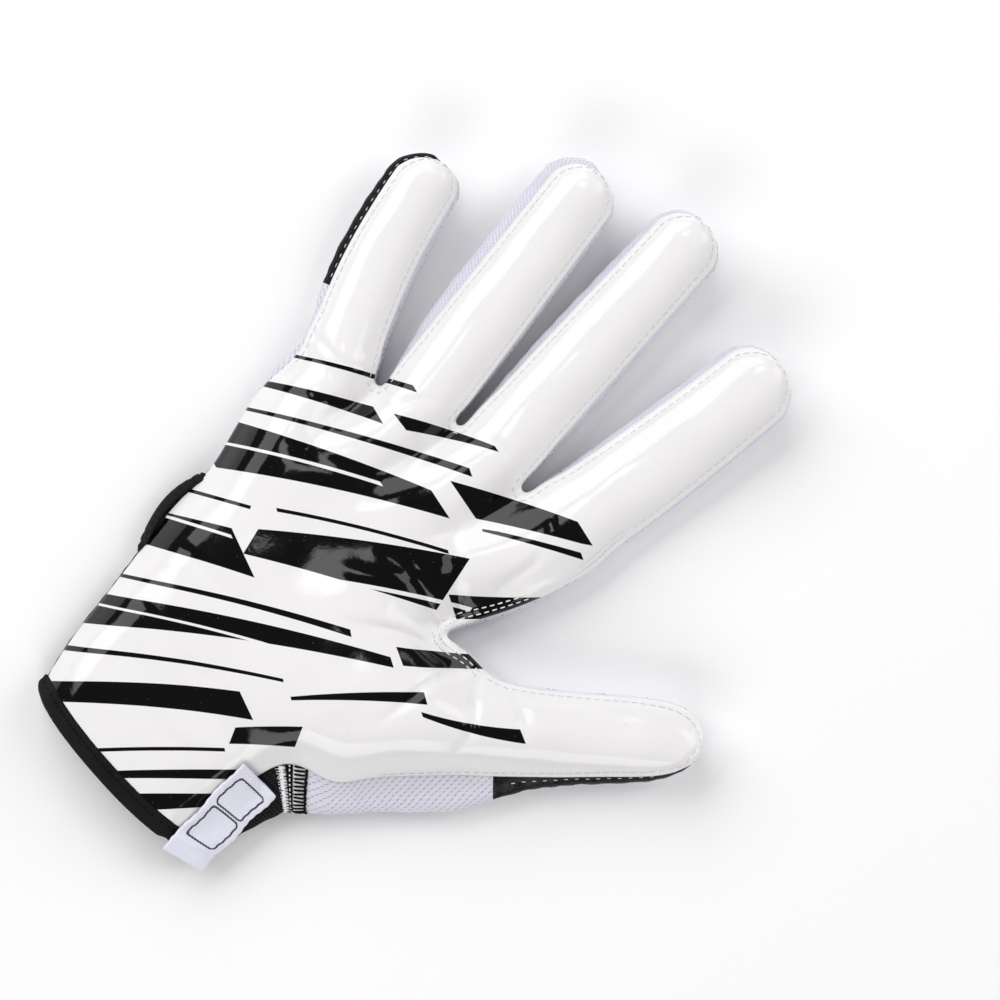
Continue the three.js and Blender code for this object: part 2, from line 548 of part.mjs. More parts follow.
function makeWalls() {
  const ends = WALLS.map((wall) => wallEnd(wall.end));
  const spread = (stop) => {
    const k = Math.min(Math.floor(stop), run.length - 2);
    const [p, q] = [run[k].top, run[k + 1].top];
    return SEAM_GAP / 2 / Math.hypot(q[0] - p[0], q[1] - p[1]);
  };
  const inside = ends.slice(0, -1);
  const nearSeam = (stop) => inside.some((end) => Math.abs(end - stop) < SEAM_SPACE);
  const seams = inside.flatMap((end) => [end - spread(end - 0.5), end + spread(end)]);
  const whole = run.map((_, k) => k).filter((k) => !nearSeam(k));
  const stops = [...whole, ...seams].sort((a, b) => a - b);
  const points = [];
  const cells = [];
  stops.forEach((stop, i) => {
    for (let k = 0; k <= WALL_CELLS; k += 1) points.push(wallPoint(stop, k / WALL_CELLS));
    if (i === stops.length - 1) return;
    for (let k = 0; k < WALL_CELLS; k += 1) {
      const a = i * (WALL_CELLS + 1) + k;
      const b = a + WALL_CELLS + 1;
      cells.push({ corners: [a, b, b + 1, a + 1], middle: (stop + stops[i + 1]) / 2 });
    }
  });
  const normals = normalsOf(points, cells.map((cell) => cell.corners));
  const inner = inward(points, normals, KNIT_WALL);
  return WALLS.map((wall, w) => {
    const from = w === 0 ? -1 : ends[w - 1];
    const isOwn = ({ middle }) => middle > from && middle < ends[w] && !nearSeam(middle);
    const own = cells.filter(isOwn).map((cell) => cell.corners);
    return addPiece(wall.name, solidBetween(points, inner, own), wall.finish);
  });
}
const walls = makeWalls();

// The strap lies under the back sheet and turns up round the wall of the little finger's side.
function makeStrap() {
  const first = STRAP_MIDDLE_ROW - STRAP_HALF_ROWS;
  const last = STRAP_MIDDLE_ROW + STRAP_HALF_ROWS;
  const middles = CUTS.filter((row) => row > first + HOLLOW_EDGE && row < last - HOLLOW_EDGE);
  const rows = [first, ...middles, last];
  const stopOf = (row) => {
    const k = CUTS.findIndex((cut) => cut > row) - 1;
    return k + (row - CUTS[k]) / (CUTS[k + 1] - CUTS[k]);
  };
  const start = Math.round(STRAP_START * COLUMNS);
  const lines = [];
  for (let c = start; c >= 0; c -= 1) {
    const pull = c === start ? STRAP_TAPER : 0;
    lines.push(rows.map((row) => palmPoint(c, lerp(row, STRAP_MIDDLE_ROW, pull), true)));
  }
  for (let k = WALL_CELLS - 1; k > 0; k -= 1) {
    lines.push(rows.map((row) => wallPoint(stopOf(row), k / WALL_CELLS)));
  }
  const points = lines.flat();
  const cells = [];
  for (let i = 0; i < lines.length - 1; i += 1) {
    for (let k = 0; k < rows.length - 1; k += 1) {
      const a = i * rows.length + k;
      cells.push([a, a + 1, a + rows.length + 1, a + rows.length].reverse());
    }
  }
  const normals = normalsOf(points, cells);
  const outer = inward(points, normals, -SEAM_GAP - STRAP_WALL);
  const inner = inward(points, normals, -SEAM_GAP);
  return addPiece('wrist_strap', solidBetween(outer, inner, cells), BLACK_CLOTH);
}
makeStrap();

// The binding is a closed band of tape round the mouth of the cuff.
function makeBinding() {
  const middle = (sheet, inner, c) => {
    const k = sheet.places.get(`palm ${c} 0`);
    return mix(sheet.points[k], inner[k], 0.5);
  };
  const columns = Array.from({ length: COLUMNS + 1 }, (_, c) => c);
  const line = [
    ...columns.map((c) => middle(front, frontInner, c)),
    wallPoint(run.length - 1, 0.5),
    ...columns.reverse().map((c) => middle(back, backInner, c)),
    wallPoint(0, 0.5),
  ];
  const positions = [];
  const triangles = [];
  line.forEach(([x, y, z], i) => {
    const before = line[(i + line.length - 1) % line.length];
    const after = line[(i + 1) % line.length];
    const [tx, tz] = unit([after[0] - before[0], after[2] - before[2]]);
    const [near, far] = [y - SEAM_GAP, y - SEAM_GAP - BINDING_WIDTH];
    const half = BINDING_WALL / 2;
    for (const [side, end] of [[half, near], [half, far], [-half, far], [-half, near]]) {
      positions.push(x - tz * side, end, z + tx * side);
    }
    const next = ((i + 1) % line.length) * 4;
    for (let k = 0; k < 4; k += 1) {
      const [a, b] = [i * 4 + k, i * 4 + ((k + 1) % 4)];
      const [c, d] = [next + ((k + 1) % 4), next + k];
      triangles.push(a, b, c, a, c, d);
    }
  });
  const geometry = new THREE.BufferGeometry();
  geometry.setAttribute('position', new THREE.Float32BufferAttribute(positions, 3));
  geometry.setIndex(triangles);
  geometry.computeVertexNormals();
  return addPiece('cuff_binding', geometry, BLACK_CLOTH);
}
const binding = makeBinding();

// The tab is sewn on at its upper end and lies down over the elastic and the binding.
function makeTab() {
  const under = [palmPanel, walls[walls.length - 1], binding];
  const ray = new THREE.Raycaster();
  const down = new THREE.Vector3(0, 0, -1);
  const heightAt = (x, y) => {
    ray.set(new THREE.Vector3(x, y, 3 * PALM_DEPTH), down);
    const hit = ray.intersectObjects(under, false)[0];
    return hit ? hit.point.z : -Infinity;
  };
  const [across, along] = TAB_CELLS;
  const left = PALM_ROWS[0].rightX * PALM_WIDTH;
  const top = PALM_ROWS[TAB_TOP_ROW].rightY * PALM_LENGTH;
  const near = [-TAB_FEEL, 0, TAB_FEEL];
  const points = [];
  const cells = [];
  for (let r = 0; r <= along; r += 1) {
    for (let c = 0; c <= across; c += 1) {
      const x = left + (TAB_WIDTH * c) / across;
      const y = top - (TAB_LENGTH * r) / along;
      const felt = near.flatMap((dx) => near.map((dy) => heightAt(x + dx, y + dy)));
      const own = Math.max(...felt) + SEAM_GAP + TAB_WALL;
      const least = r === 0 ? own : points[(r - 1) * (across + 1) + c][2] - TAB_DROP;
      points.push([x, y, Math.max(own, least)]);
      if (r === along || c === across) continue;
      const a = r * (across + 1) + c;
      cells.push([a, a + across + 1, a + across + 2, a + 1]);
    }
  }
  const lower = points.map((point) => plus(point, [0, 0, -TAB_WALL]));
  return addPiece('label_tab', solidBetween(points, lower, cells), WOVEN_TAB);
}
makeTab();

export default group;
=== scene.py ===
# A football receiver glove for a right hand, lying on its back with its palm up.
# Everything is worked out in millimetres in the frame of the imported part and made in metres:
# X runs to the thumb side, Y to the fingertips and Z up out of the palm.
import math

import bpy
import numpy as np
from mathutils import Matrix, Vector
from mathutils.bvhtree import BVHTree
from mathutils.kdtree import KDTree


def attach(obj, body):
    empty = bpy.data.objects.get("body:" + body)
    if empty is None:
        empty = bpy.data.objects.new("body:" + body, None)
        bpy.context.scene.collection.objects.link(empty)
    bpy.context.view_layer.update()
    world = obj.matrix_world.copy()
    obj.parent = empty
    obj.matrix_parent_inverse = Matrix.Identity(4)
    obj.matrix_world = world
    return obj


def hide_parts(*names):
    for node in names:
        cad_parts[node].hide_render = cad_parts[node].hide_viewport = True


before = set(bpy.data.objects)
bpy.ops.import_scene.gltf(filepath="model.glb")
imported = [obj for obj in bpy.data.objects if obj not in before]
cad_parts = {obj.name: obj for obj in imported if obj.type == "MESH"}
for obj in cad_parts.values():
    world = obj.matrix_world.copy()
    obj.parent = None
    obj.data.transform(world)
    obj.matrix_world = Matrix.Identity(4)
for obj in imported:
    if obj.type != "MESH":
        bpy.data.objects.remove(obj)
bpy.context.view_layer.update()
MM = 0.001


# The studio: a pale table under soft boxes, with the camera straight above it.
# The camera is turned so that the fingertips point to the upper right, as the glove was laid down.
PICTURE_RIGHT = (0.7193, 0.6947)


def add_object(name, data):
    thing = bpy.data.objects.new(name, data)
    bpy.context.scene.collection.objects.link(thing)
    return thing


def make_studio():
    look_at = (24.0, 29.6, 10.0)
    field, lens, sensor = 270.27, 135.0, 36.0
    right = Vector((*PICTURE_RIGHT, 0))
    up = Vector((-PICTURE_RIGHT[1], PICTURE_RIGHT[0], 0))
    data = bpy.data.cameras.new("camera")
    data.lens, data.sensor_width = lens, sensor
    data.dof.use_dof = False
    camera = add_object("camera", data)
    height = look_at[2] + field * lens / sensor
    turn = Matrix((right, up, right.cross(up))).transposed().to_4x4()
    camera.matrix_world = Matrix.Translation(Vector((look_at[0], look_at[1], height)) * MM) @ turn
    bpy.context.scene.camera = camera
    bpy.context.scene.view_settings.view_transform = "Standard"

    # Each box: which way it stands seen in the picture, in degrees from the picture's right,
    # how far off the vertical, its distance and two sides in metres, and its power in watts.
    boxes = [
        (125, 50, 1.3, 1.5, 1.0, 15.8),
        (15, 58, 1.3, 0.8, 1.3, 8.8),
        (250, 60, 1.4, 1.5, 0.7, 10.6),
        (100, 17, 1.5, 0.34, 0.26, 1.1),
    ]
    for k, (around, off, away, width, length, power) in enumerate(boxes):
        light = bpy.data.lights.new(f"soft_box_{k}", "AREA")
        light.shape, light.size, light.size_y, light.energy = "RECTANGLE", width, length, power
        lamp = add_object(f"soft_box_{k}", light)
        side = right * math.cos(math.radians(around)) + up * math.sin(math.radians(around))
        to = side * math.sin(math.radians(off)) + Vector((0, 0, math.cos(math.radians(off))))
        lamp.location = Vector(look_at) * MM + to * away
        lamp.rotation_euler = to.to_track_quat("Z", "Y").to_euler()
    world = bpy.data.worlds.new("studio")
    world.use_nodes = True
    glow = world.node_tree.nodes["Background"].inputs
    glow["Color"].default_value, glow["Strength"].default_value = (1.0, 0.98, 0.97, 1), 0.15
    bpy.context.scene.world = world

    # Half the table's width in metres, and how far its top lies under the glove.
    half, low = 3.0, -0.4 * MM
    corners = [(-half, -half, low), (half, -half, low), (half, half, low), (-half, half, low)]
    mesh = bpy.data.meshes.new("table")
    mesh.from_pydata(corners, [], [(0, 1, 2, 3)])
    paper = bpy.data.materials.new("table_paper")
    paper.use_nodes = True
    shader = paper.node_tree.nodes["Principled BSDF"].inputs
    shader["Base Color"].default_value, shader["Roughness"].default_value = (0.9, 0.9, 0.905, 1), 0.85
    mesh.materials.append(paper)
    add_object("table", mesh)


make_studio()


# The front of the glove: one sheet of grip film over the palm, four fingers and the thumb.
# It is a glossy soft film on cloth, white with black bars printed on it, cut to one pattern piece
# and sewn to the knit all round. Its pattern is told as rows across the palm, fingers and thumb.
# Sizes are in millimetres, turns in degrees, and what is below 1 is mostly a share of such a size.
PALM_WIDTH, PALM_LENGTH, PALM_DEPTH = 97, 132, 24
FINGER_REACH, FINGER_DEPTH, THUMB_REACH = 85, 13.5, 73
THUMB_SIDE, LITTLE_SIDE, BACK_SHARE, LITTLE_RISE = 14.5, 4, 0.6, 0.1
TIP_CURL, THUMB_CURL, CURL_POWER, CROTCH_WIDTH = 6, 0.6, 2.2, 2.8
TIP_ROUND, TIP_LOW, TIP_FULLNESS = 0.9, 0.3, 0.7
ROOT_BLEND, ROOT_ROWS, CUFF_SAG, THUMB_FOOT_TURN = 0.2, 3, -0.016, -44
FILM_WALL, KNIT_WALL, SEAM_GAP = 1.2, 1.1, 0.3


def table(names, rows):
    return [dict(zip(names.split(), row)) for row in rows]


# Across the palm, from the cuff up: where both ends are, five heights, how far the walls stand out
# on the little finger's side and the thumb's, and how high the back's edge rises there.
PALM_ROWS = table("left_x left_y right_x right_y edge side middle mound web little thumb rise", [
    (-0.3, -0.69, 0.247, -0.72, 0.38, 0.55, 0.62, 0.57, 0.42, 0.5, 0.98, 0.1),
    (-0.318, -0.636, 0.263, -0.652, 0.38, 0.58, 0.66, 0.61, 0.44, 0.5, 1, 0.1),
    (-0.333, -0.568, 0.28, -0.583, 0.38, 0.6, 0.7, 0.65, 0.46, 0.5, 1.06, 0.1),
    (-0.342, -0.5, 0.297, -0.523, 0.38, 0.62, 0.75, 0.71, 0.5, 0.5, 1.18, 0.1),
    (-0.35, -0.432, 0.34, -0.455, 0.38, 0.65, 0.8, 0.82, 0.58, 0.55, 1.28, 0.1),
    (-0.361, -0.364, 0.371, -0.386, 0.38, 0.68, 0.85, 0.93, 0.86, 0.55, 0, 0),
    (-0.374, -0.299, 0.392, -0.318, 0.38, 0.71, 0.87, 0.97, 0.95, 0.55, 0, 0),
    (-0.384, -0.235, 0.397, -0.25, 0.38, 0.74, 0.87, 0.97, 0.97, 0.5, 0, 0),
    (-0.382, -0.167, 0.397, -0.182, 0.38, 0.75, 0.85, 0.93, 0.92, 0.4, 0, 0),
    (-0.396, -0.102, 0.394, -0.114, 0.38, 0.76, 0.83, 0.85, 0.8, 0.35, 0, 0),
    (-0.42, -0.03, 0.392, -0.049, 0.38, 0.75, 0.81, 0.76, 0.52, 0.35, 0.1, 0.1),
    (-0.438, 0.045, 0.445, 0.03, 0.38, 0.72, 0.79, 0.73, 0.42, 0.45, 0.1, 0.1),
    (-0.438, 0.108, 0.515, 0.133, 0.38, 0.66, 0.74, 0.69, 0.4, 0.75, 0.1, 0.1),
    (-0.445, 0.166, 0.56, 0.235, 0.38, 0.6, 0.66, 0.62, 0.38, 0.95, 0.1, 0.1),
])
HEIGHTS = ("edge", "side", "middle", "mound", "web")
HEIGHT_PLACES = (0, 0.13, 0.5, 0.87, 1)
THUMB_FOOT, THUMB_CROTCH = 4, 10
CROTCHES = [(-0.222, 0.222), (0.0155, 0.279), (0.275, 0.273)]
# Each finger, from the little one on: how it leans and sways, and how far its walls stand out.
FINGERS = table("lean reach wide sway left right", [
    (17, 0.72, 0.197, -0.026, 0.28, 0.1),
    (6, 0.927, 0.213, 0, 0.34, 0.08),
    (1.5, 1, 0.215, 0, 0.2, 0.12),
    (-9, 0.892, 0.246, 0.01, 0.16, 0.12),
])
# Across any finger, from its root on, and then the turns at which the round of its tip is cut.
FINGER_ROWS = table("along wide rim crown low stand", [
    (0, 1.02, 0.68, 1.12, 0.17, 0.1),
    (0.07, 1.02, 0.67, 1.09, 0.16, 0.2),
    (0.16, 1.02, 0.66, 1.05, 0.16, 0.6),
    (0.28, 1.01, 0.66, 1.02, 0.16, 0.9),
    (0.42, 0.99, 0.66, 1, 0.16, 1),
    (0.56, 0.965, 0.66, 0.99, 0.16, 1),
    (0.7, 0.94, 0.66, 0.98, 0.16, 1),
    (0.82, 0.92, 0.66, 0.96, 0.16, 0.9),
])
TIP_TURNS = (16, 36, 54, 70, 82)
# Across the thumb, from its root on: where its upper and its lower edge are, and its heights.
THUMB_ROWS = table("up_x up_y low_x low_y up_rim crown low_rim side low", [
    (0, 0, -0.07, -0.73, 0.52, 0.97, 0.58, 1.28, 0.1),
    (0.09, 0, 0.08, -0.69, 0.46, 0.97, 0.52, 0.92, 0.1),
    (0.165, 0, 0.16, -0.6, 0.42, 0.94, 0.48, 0.9, 0.1),
    (0.25, 0.005, 0.24, -0.51, 0.4, 0.89, 0.45, 0.97, 0.1),
    (0.335, 0.045, 0.325, -0.425, 0.39, 0.83, 0.43, 1, 0.1),
    (0.42, 0.105, 0.41, -0.34, 0.385, 0.77, 0.41, 0.92, 0.1),
    (0.515, 0.18, 0.5, -0.26, 0.38, 0.72, 0.4, 0.66, 0.1),
    (0.6, 0.25, 0.59, -0.175, 0.38, 0.67, 0.39, 0.42, 0.1),
    (0.685, 0.32, 0.68, -0.09, 0.38, 0.63, 0.38, 0.3, 0.1),
    (0.77, 0.38, 0.77, 0, 0.38, 0.6, 0.38, 0.26, 0.1),
    (0.845, 0.413, 0.852, 0.08, 0.38, 0.57, 0.38, 0.24, 0.1),
    (0.91, 0.413, 0.92, 0.15, 0.38, 0.53, 0.38, 0.2, 0.12),
    (0.962, 0.388, 0.968, 0.215, 0.38, 0.48, 0.38, 0.16, 0.14),
    (0.99, 0.345, 0.992, 0.275, 0.38, 0.42, 0.38, 0.12, 0.16),
])
# The strap crosses the back at one of the palm's rows, and the back gives way to it.
STRAP_ROW, STRAP_WIDTH, STRAP_WALL, ROW_LENGTH = 6.62, 23, 1.6, 0.0665
STRAP_FIRST = STRAP_ROW - STRAP_WIDTH / 2 / (ROW_LENGTH * PALM_LENGTH)
STRAP_LAST = STRAP_ROW + STRAP_WIDTH / 2 / (ROW_LENGTH * PALM_LENGTH)
STRAP_NEAR, STRAP_FAR = 0.05, 0.7
# The cells across a finger, and with one more at each crotch those across the palm.
CELLS = 5
LAST_ROW = len(PALM_ROWS) - 1
COLUMNS = len(FINGERS) * CELLS + len(CROTCHES)
THUMB_LAST = len(THUMB_ROWS) - 1


def lerp(a, b, t):
    return a + (b - a) * t


def ease(start, end, t):
    part = np.clip((t - start) / (end - start), 0, 1)
    return part * part * (3 - 2 * part)


def turned(degrees):
    return np.array([math.cos(math.radians(degrees)), math.sin(math.radians(degrees))])


def unit(vectors):
    return vectors / np.linalg.norm(vectors, axis=-1, keepdims=True)


def through(places, values, at):
    """The value at a place on a smooth curve through the values."""
    k = 0
    while k < len(places) - 2 and at > places[k + 1]:
        k += 1

    def slope(i):
        before, after = max(i - 1, 0), min(i + 1, len(places) - 1)
        return (values[after] - values[before]) / (places[after] - places[before])

    span = places[k + 1] - places[k]
    t = (at - places[k]) / span
    start = values[k] * (1 + 2 * t) * (1 - t) ** 2 + span * slope(k) * t * (1 - t) ** 2
    return start + values[k + 1] * t * t * (3 - 2 * t) + span * slope(k + 1) * t * t * (t - 1)


def hump(across, fullness=2.3):
    """The front's swelling from edge to edge, 1 in the middle and 0 at both edges."""
    return 1 - abs(2 * across - 1) ** fullness


def turn_up(across, flat=0.45):
    """The back's turning up from the table, 0 on its flat middle and 1 at both edges."""
    return (max(0, abs(2 * across - 1) - flat) / (1 - flat)) ** 2


def palm_cuts(clear=0.35):
    """The places, counted in rows, where the palm's cells are cut: at the rows and beside the strap."""
    near, far = STRAP_NEAR, STRAP_FAR
    edges = [STRAP_FIRST - far, STRAP_FIRST - near, STRAP_LAST + near, STRAP_LAST + far]
    fixed = (0, THUMB_FOOT, THUMB_CROTCH, LAST_ROW)
    whole = [r for r in range(LAST_ROW + 1) if r in fixed or min(abs(e - r) for e in edges) > clear]
    return sorted(whole + edges)


CUTS = palm_cuts()
THUMB_CUTS = [row for row in reversed(CUTS) if THUMB_FOOT <= row <= THUMB_CROTCH]
THUMB_CELLS = len(THUMB_CUTS) - 1


def finger_roots():
    last = PALM_ROWS[LAST_ROW]
    ends = [(last["left_x"], last["left_y"]), *CROTCHES, (last["right_x"], last["right_y"])]
    ends = [np.array(end) * (PALM_WIDTH, PALM_LENGTH) for end in ends]
    roots = []
    for f in range(4):
        along = unit(ends[f + 1] - ends[f])
        left_gap = 0 if f == 0 else CROTCH_WIDTH / 2
        right_gap = 0 if f == 3 else CROTCH_WIDTH / 2
        roots.append((ends[f] + along * left_gap, ends[f + 1] - along * right_gap))
    return roots


ROOTS = finger_roots()


def finger_sections(finger):
    last = FINGER_ROWS[-1]
    reach = finger["reach"] * FINGER_REACH
    radius = finger["wide"] * PALM_WIDTH * last["wide"] * TIP_ROUND / 2
    start = 1 - radius / reach
    body = [dict(row, along=row["along"] * start / last["along"], round=1) for row in FINGER_ROWS]
    tip = []
    for degrees in TIP_TURNS:
        c, s = turned(degrees)
        tip.append(dict(last, along=start + s * radius / reach, wide=last["wide"] * c, round=c))
    return body + tip


SECTIONS = [finger_sections(finger) for finger in FINGERS]
FINGER_LAST = len(SECTIONS[0]) - 1


def side_stand(f, row, side):
    return FINGERS[f][side] * FINGER_DEPTH * SECTIONS[f][row]["stand"]


def finger_point(f, row, across, is_back):
    finger, section = FINGERS[f], SECTIONS[f][row]
    left, right = ROOTS[f]
    square = turned(finger["lean"])
    axis = np.array([-square[1], square[0]])
    free = 0 if row == 0 else ease(0, ROOT_BLEND, section["along"])
    flat = unit(lerp(unit(right - left), square, free))
    width = lerp(np.linalg.norm(right - left), finger["wide"] * PALM_WIDTH, free)
    width = width * (1 if row == 0 else section["wide"])
    sway = finger["sway"] * PALM_WIDTH * math.sin(math.pi * section["along"])
    middle = (left + right) / 2 + axis * finger["reach"] * FINGER_REACH * section["along"] + square * sway
    out = side_stand(f, row, "left" if across < 0.5 else "right") / 2 if is_back else 0
    x, y = middle + flat * (across - 0.5) * (width + 2 * out)
    lift = TIP_CURL * section["along"] ** CURL_POWER
    if is_back:
        rise = (1 - section["round"]) * TIP_LOW + section["low"] * turn_up(across)
    else:
        crown = (section["crown"] - section["rim"]) * section["round"] ** TIP_FULLNESS
        rise = section["rim"] + crown * hump(across)
    return np.array([x, y, lift + FINGER_DEPTH * rise])


def root_point(column, is_back):
    f = min(column // (CELLS + 1), 3)
    return finger_point(f, 0, (column - f * (CELLS + 1)) / CELLS, is_back)


def strap_hollow(row):
    past = abs(row - STRAP_ROW) - (STRAP_LAST - STRAP_ROW)
    return (STRAP_WALL + SEAM_GAP) * (1 - ease(STRAP_NEAR, STRAP_FAR, past))


def read_palm(name, row):
    return through(range(LAST_ROW + 1), [entry[name] for entry in PALM_ROWS], row)


def thumb_out(row):
    return turned(THUMB_FOOT_TURN * ease(THUMB_FOOT - ROOT_ROWS, THUMB_FOOT, row))


def palm_point(column, row, is_back):
    root = root_point(column, is_back)
    if row == LAST_ROW:
        return root
    size = np.array([PALM_WIDTH, PALM_LENGTH])
    left = size * (read_palm("left_x", row), read_palm("left_y", row))
    right = size * (read_palm("right_x", row), read_palm("right_y", row))
    if is_back:
        left = left + np.array([-1, 0]) * read_palm("little", row) * LITTLE_SIDE / 2
        right = right + thumb_out(row) * read_palm("thumb", row) * THUMB_SIDE * BACK_SHARE
    start, end = root_point(0, is_back), root_point(COLUMNS, is_back)
    across = (root[0] - start[0]) / (end[0] - start[0])
    up = row / LAST_ROW
    arch = (root[1] - lerp(start[1], end[1], across)) * up ** 3
    sag = CUFF_SAG * PALM_LENGTH * hump(across) * (1 - up) ** 2
    x, y = lerp(left, right, across) + np.array([0, arch + sag])
    blend = ease(LAST_ROW - ROOT_ROWS, LAST_ROW, row)
    if is_back:
        edge = LITTLE_RISE if across < 0.5 else read_palm("rise", row)
        z = lerp(PALM_DEPTH * edge * turn_up(across), root[2], blend) + strap_hollow(row)
    else:
        own = PALM_DEPTH * through(HEIGHT_PLACES, [read_palm(name, row) for name in HEIGHTS], across)
        z = lerp(own, root[2], blend)
    return np.array([x, y, z])


def thumb_point(cell, row, is_back):
    if row == 0:
        return palm_point(COLUMNS, THUMB_CUTS[cell], is_back)
    section = THUMB_ROWS[row]
    across = (THUMB_CROTCH - THUMB_CUTS[cell]) / (THUMB_CROTCH - THUMB_FOOT)
    crotch = palm_point(COLUMNS, THUMB_CROTCH, False)[:2]
    up = crotch + np.array([section["up_x"], section["up_y"]]) * THUMB_REACH
    low = crotch + np.array([section["low_x"], section["low_y"]]) * THUMB_REACH
    if is_back:
        low = low + thumb_out(THUMB_FOOT) * section["side"] * THUMB_SIDE * BACK_SHARE
    x, y = lerp(up, low, across)
    lift = THUMB_CURL * TIP_CURL * (row / THUMB_LAST) ** CURL_POWER
    if is_back:
        hollow = strap_hollow(THUMB_CUTS[cell]) * (1 - ease(0, ROOT_ROWS, row))
        return np.array([x, y, lift + hollow + PALM_DEPTH * section["low"] * turn_up(across)])
    rim = lerp(section["up_rim"], section["low_rim"], across)
    return np.array([x, y, lift + PALM_DEPTH * (rim + (section["crown"] - rim) * hump(across))])


def make_cage(is_back):
    """The sheet's coarse cage: its corners by place, and its cells with the part each belongs to."""
    places, points, cells, parts = {}, [], [], []

    def corner(place, make):
        if place not in places:
            places[place] = len(points)
            points.append(make())
        return places[place]

    def palm(c, row):
        def make():
            point = palm_point(c, row, is_back)
            if c == 0 and not is_back:
                # The film is drawn out and down over the little finger's side of the hand.
                out, down = 0.8 * LITTLE_SIDE * read_palm("little", row), 3.4
                point = point + np.array([-out, 0, -down]) * (1 - ease(10.5, 12.5, row))
            return point

        return corner(("palm", c, row), make)

    def finger(f, c, r):
        if r == 0:
            return palm(f * (CELLS + 1) + c, LAST_ROW)
        return corner(("finger", f, c, r), lambda: finger_point(f, r, c / CELLS, is_back))

    def thumb(c, r):
        if r == 0:
            return palm(COLUMNS, THUMB_CUTS[c])
        return corner(("thumb", c, r), lambda: thumb_point(c, r, is_back))

    def add(at, across, along, part):
        for c in range(across):
            for r in range(along):
                cell = [at(c, r), at(c + 1, r), at(c + 1, r + 1), at(c, r + 1)]
                cells.append(cell[::-1] if is_back else cell)
                parts.append(part(r))

    add(lambda c, r: palm(c, CUTS[r]), COLUMNS, len(CUTS) - 1, lambda r: int(CUTS[r] < THUMB_FOOT))
    for f in range(4):
        add(lambda c, r, f=f: finger(f, c, r), CELLS, FINGER_LAST, lambda r: 0)
    add(thumb, THUMB_CELLS, THUMB_LAST, lambda r: 0)
    return places, np.array(points), cells, parts


def corner_normals(points, cells):
    normals = np.zeros_like(points)
    quads = np.array(cells)
    facing = np.cross(points[quads[:, 2]] - points[quads[:, 0]], points[quads[:, 3]] - points[quads[:, 1]])
    for k in range(4):
        np.add.at(normals, quads[:, k], facing)
    return unit(normals)


def read_values(collection, name, width, kind):
    values = np.empty(len(collection) * width, dtype=kind)
    collection.foreach_get(name, values)
    return values.reshape(-1, width) if width > 1 else values


def smoothed(points, cells, parts, marks, levels, push=0.9):
    """The smooth surface that passes close to the cage's corners, with its marks carried along."""
    mesh = bpy.data.meshes.new("cage")
    mesh.from_pydata([(0, 0, 0)] * len(points), [], cells)
    mesh.attributes.new("part", "INT", "FACE").data.foreach_set("value", np.array(parts, dtype=np.int32))
    mesh.attributes.new("mark", "FLOAT_VECTOR", "POINT").data.foreach_set("vector", marks.ravel())
    cage = add_object("cage", mesh)
    rounding = cage.modifiers.new("rounding", "SUBSURF")
    rounding.boundary_smooth = "PRESERVE_CORNERS"
    pushed = points.copy()
    for level in (2, 2, levels):
        rounding.levels = level
        mesh.vertices.foreach_set("co", pushed.ravel())
        mesh.update()
        bpy.context.view_layer.update()
        result = cage.evaluated_get(bpy.context.evaluated_depsgraph_get()).to_mesh()
        fine = read_values(result.vertices, "co", 3, np.float64)
        pushed = pushed + push * (points - fine[:len(points)])
    quads = read_values(result.loops, "vertex_index", 1, np.int32).reshape(-1, 4)
    part = read_values(result.attributes["part"].data, "value", 1, np.int32)
    mark = read_values(result.attributes["mark"].data, "vector", 3, np.float32)
    bpy.data.objects.remove(cage)
    bpy.data.meshes.remove(mesh)
    return fine, quads, part, mark


def rim_of(quads):
    """The open edges of a sheet of quads, in their order, as one list of corners for each rim."""
    after = {}
    edges = {(quad[k], quad[(k + 1) % 4]) for quad in quads.tolist() for k in range(4)}
    for a, b in edges:
        if (b, a) not in edges:
            after[a] = b
    rims = []
    while after:
        start = min(after)
        rim, here = [], start
        while here in after:
            rim.append(here)
            here = after.pop(here)
        rims.append(rim)
    return rims


def rim_outward(at, normals, reach):
    """Which way is out of the cloth, in its own plane, at each place of a closed rim."""
    return unit(np.cross(np.roll(at, -reach, axis=0) - np.roll(at, reach, axis=0), normals))


RIM_STEPS = 3


def sewn_sheet(name, points, quads, marks, wall, finish):
    """One piece of cloth with a thickness and a rounded rim, made from its outer surface."""
    used, quads = np.unique(quads, return_inverse=True)
    quads = quads.reshape(-1, 4)
    points, marks = points[used], marks[used]
    normals = corner_normals(points, quads)
    count = len(points)
    layers = [points, points - normals * wall]
    faces = [*quads.tolist(), *(quads[:, ::-1] + count).tolist()]
    layer_marks = [marks, marks]
    total = 2 * count
    for rim in rim_of(quads):
        at, n = points[rim], normals[rim]
        out = rim_outward(at, n, 1)
        loops = [np.array(rim)]
        for step in range(1, RIM_STEPS + 1):
            c, s = turned(180 * step / (RIM_STEPS + 1))
            ring = at - n * wall / 2 * (1 - c) + out * wall / 2 * s
            layers.append(ring)
            layer_marks.append(marks[rim])
            loops.append(np.arange(total, total + len(rim)))
            total += len(rim)
        loops.append(np.array(rim) + count)
        for upper, lower in zip(loops, loops[1:]):
            faces += np.stack([np.roll(upper, -1), upper, lower, np.roll(lower, -1)], axis=1).tolist()
    return make_piece(name, np.concatenate(layers), faces, finish, np.concatenate(layer_marks))


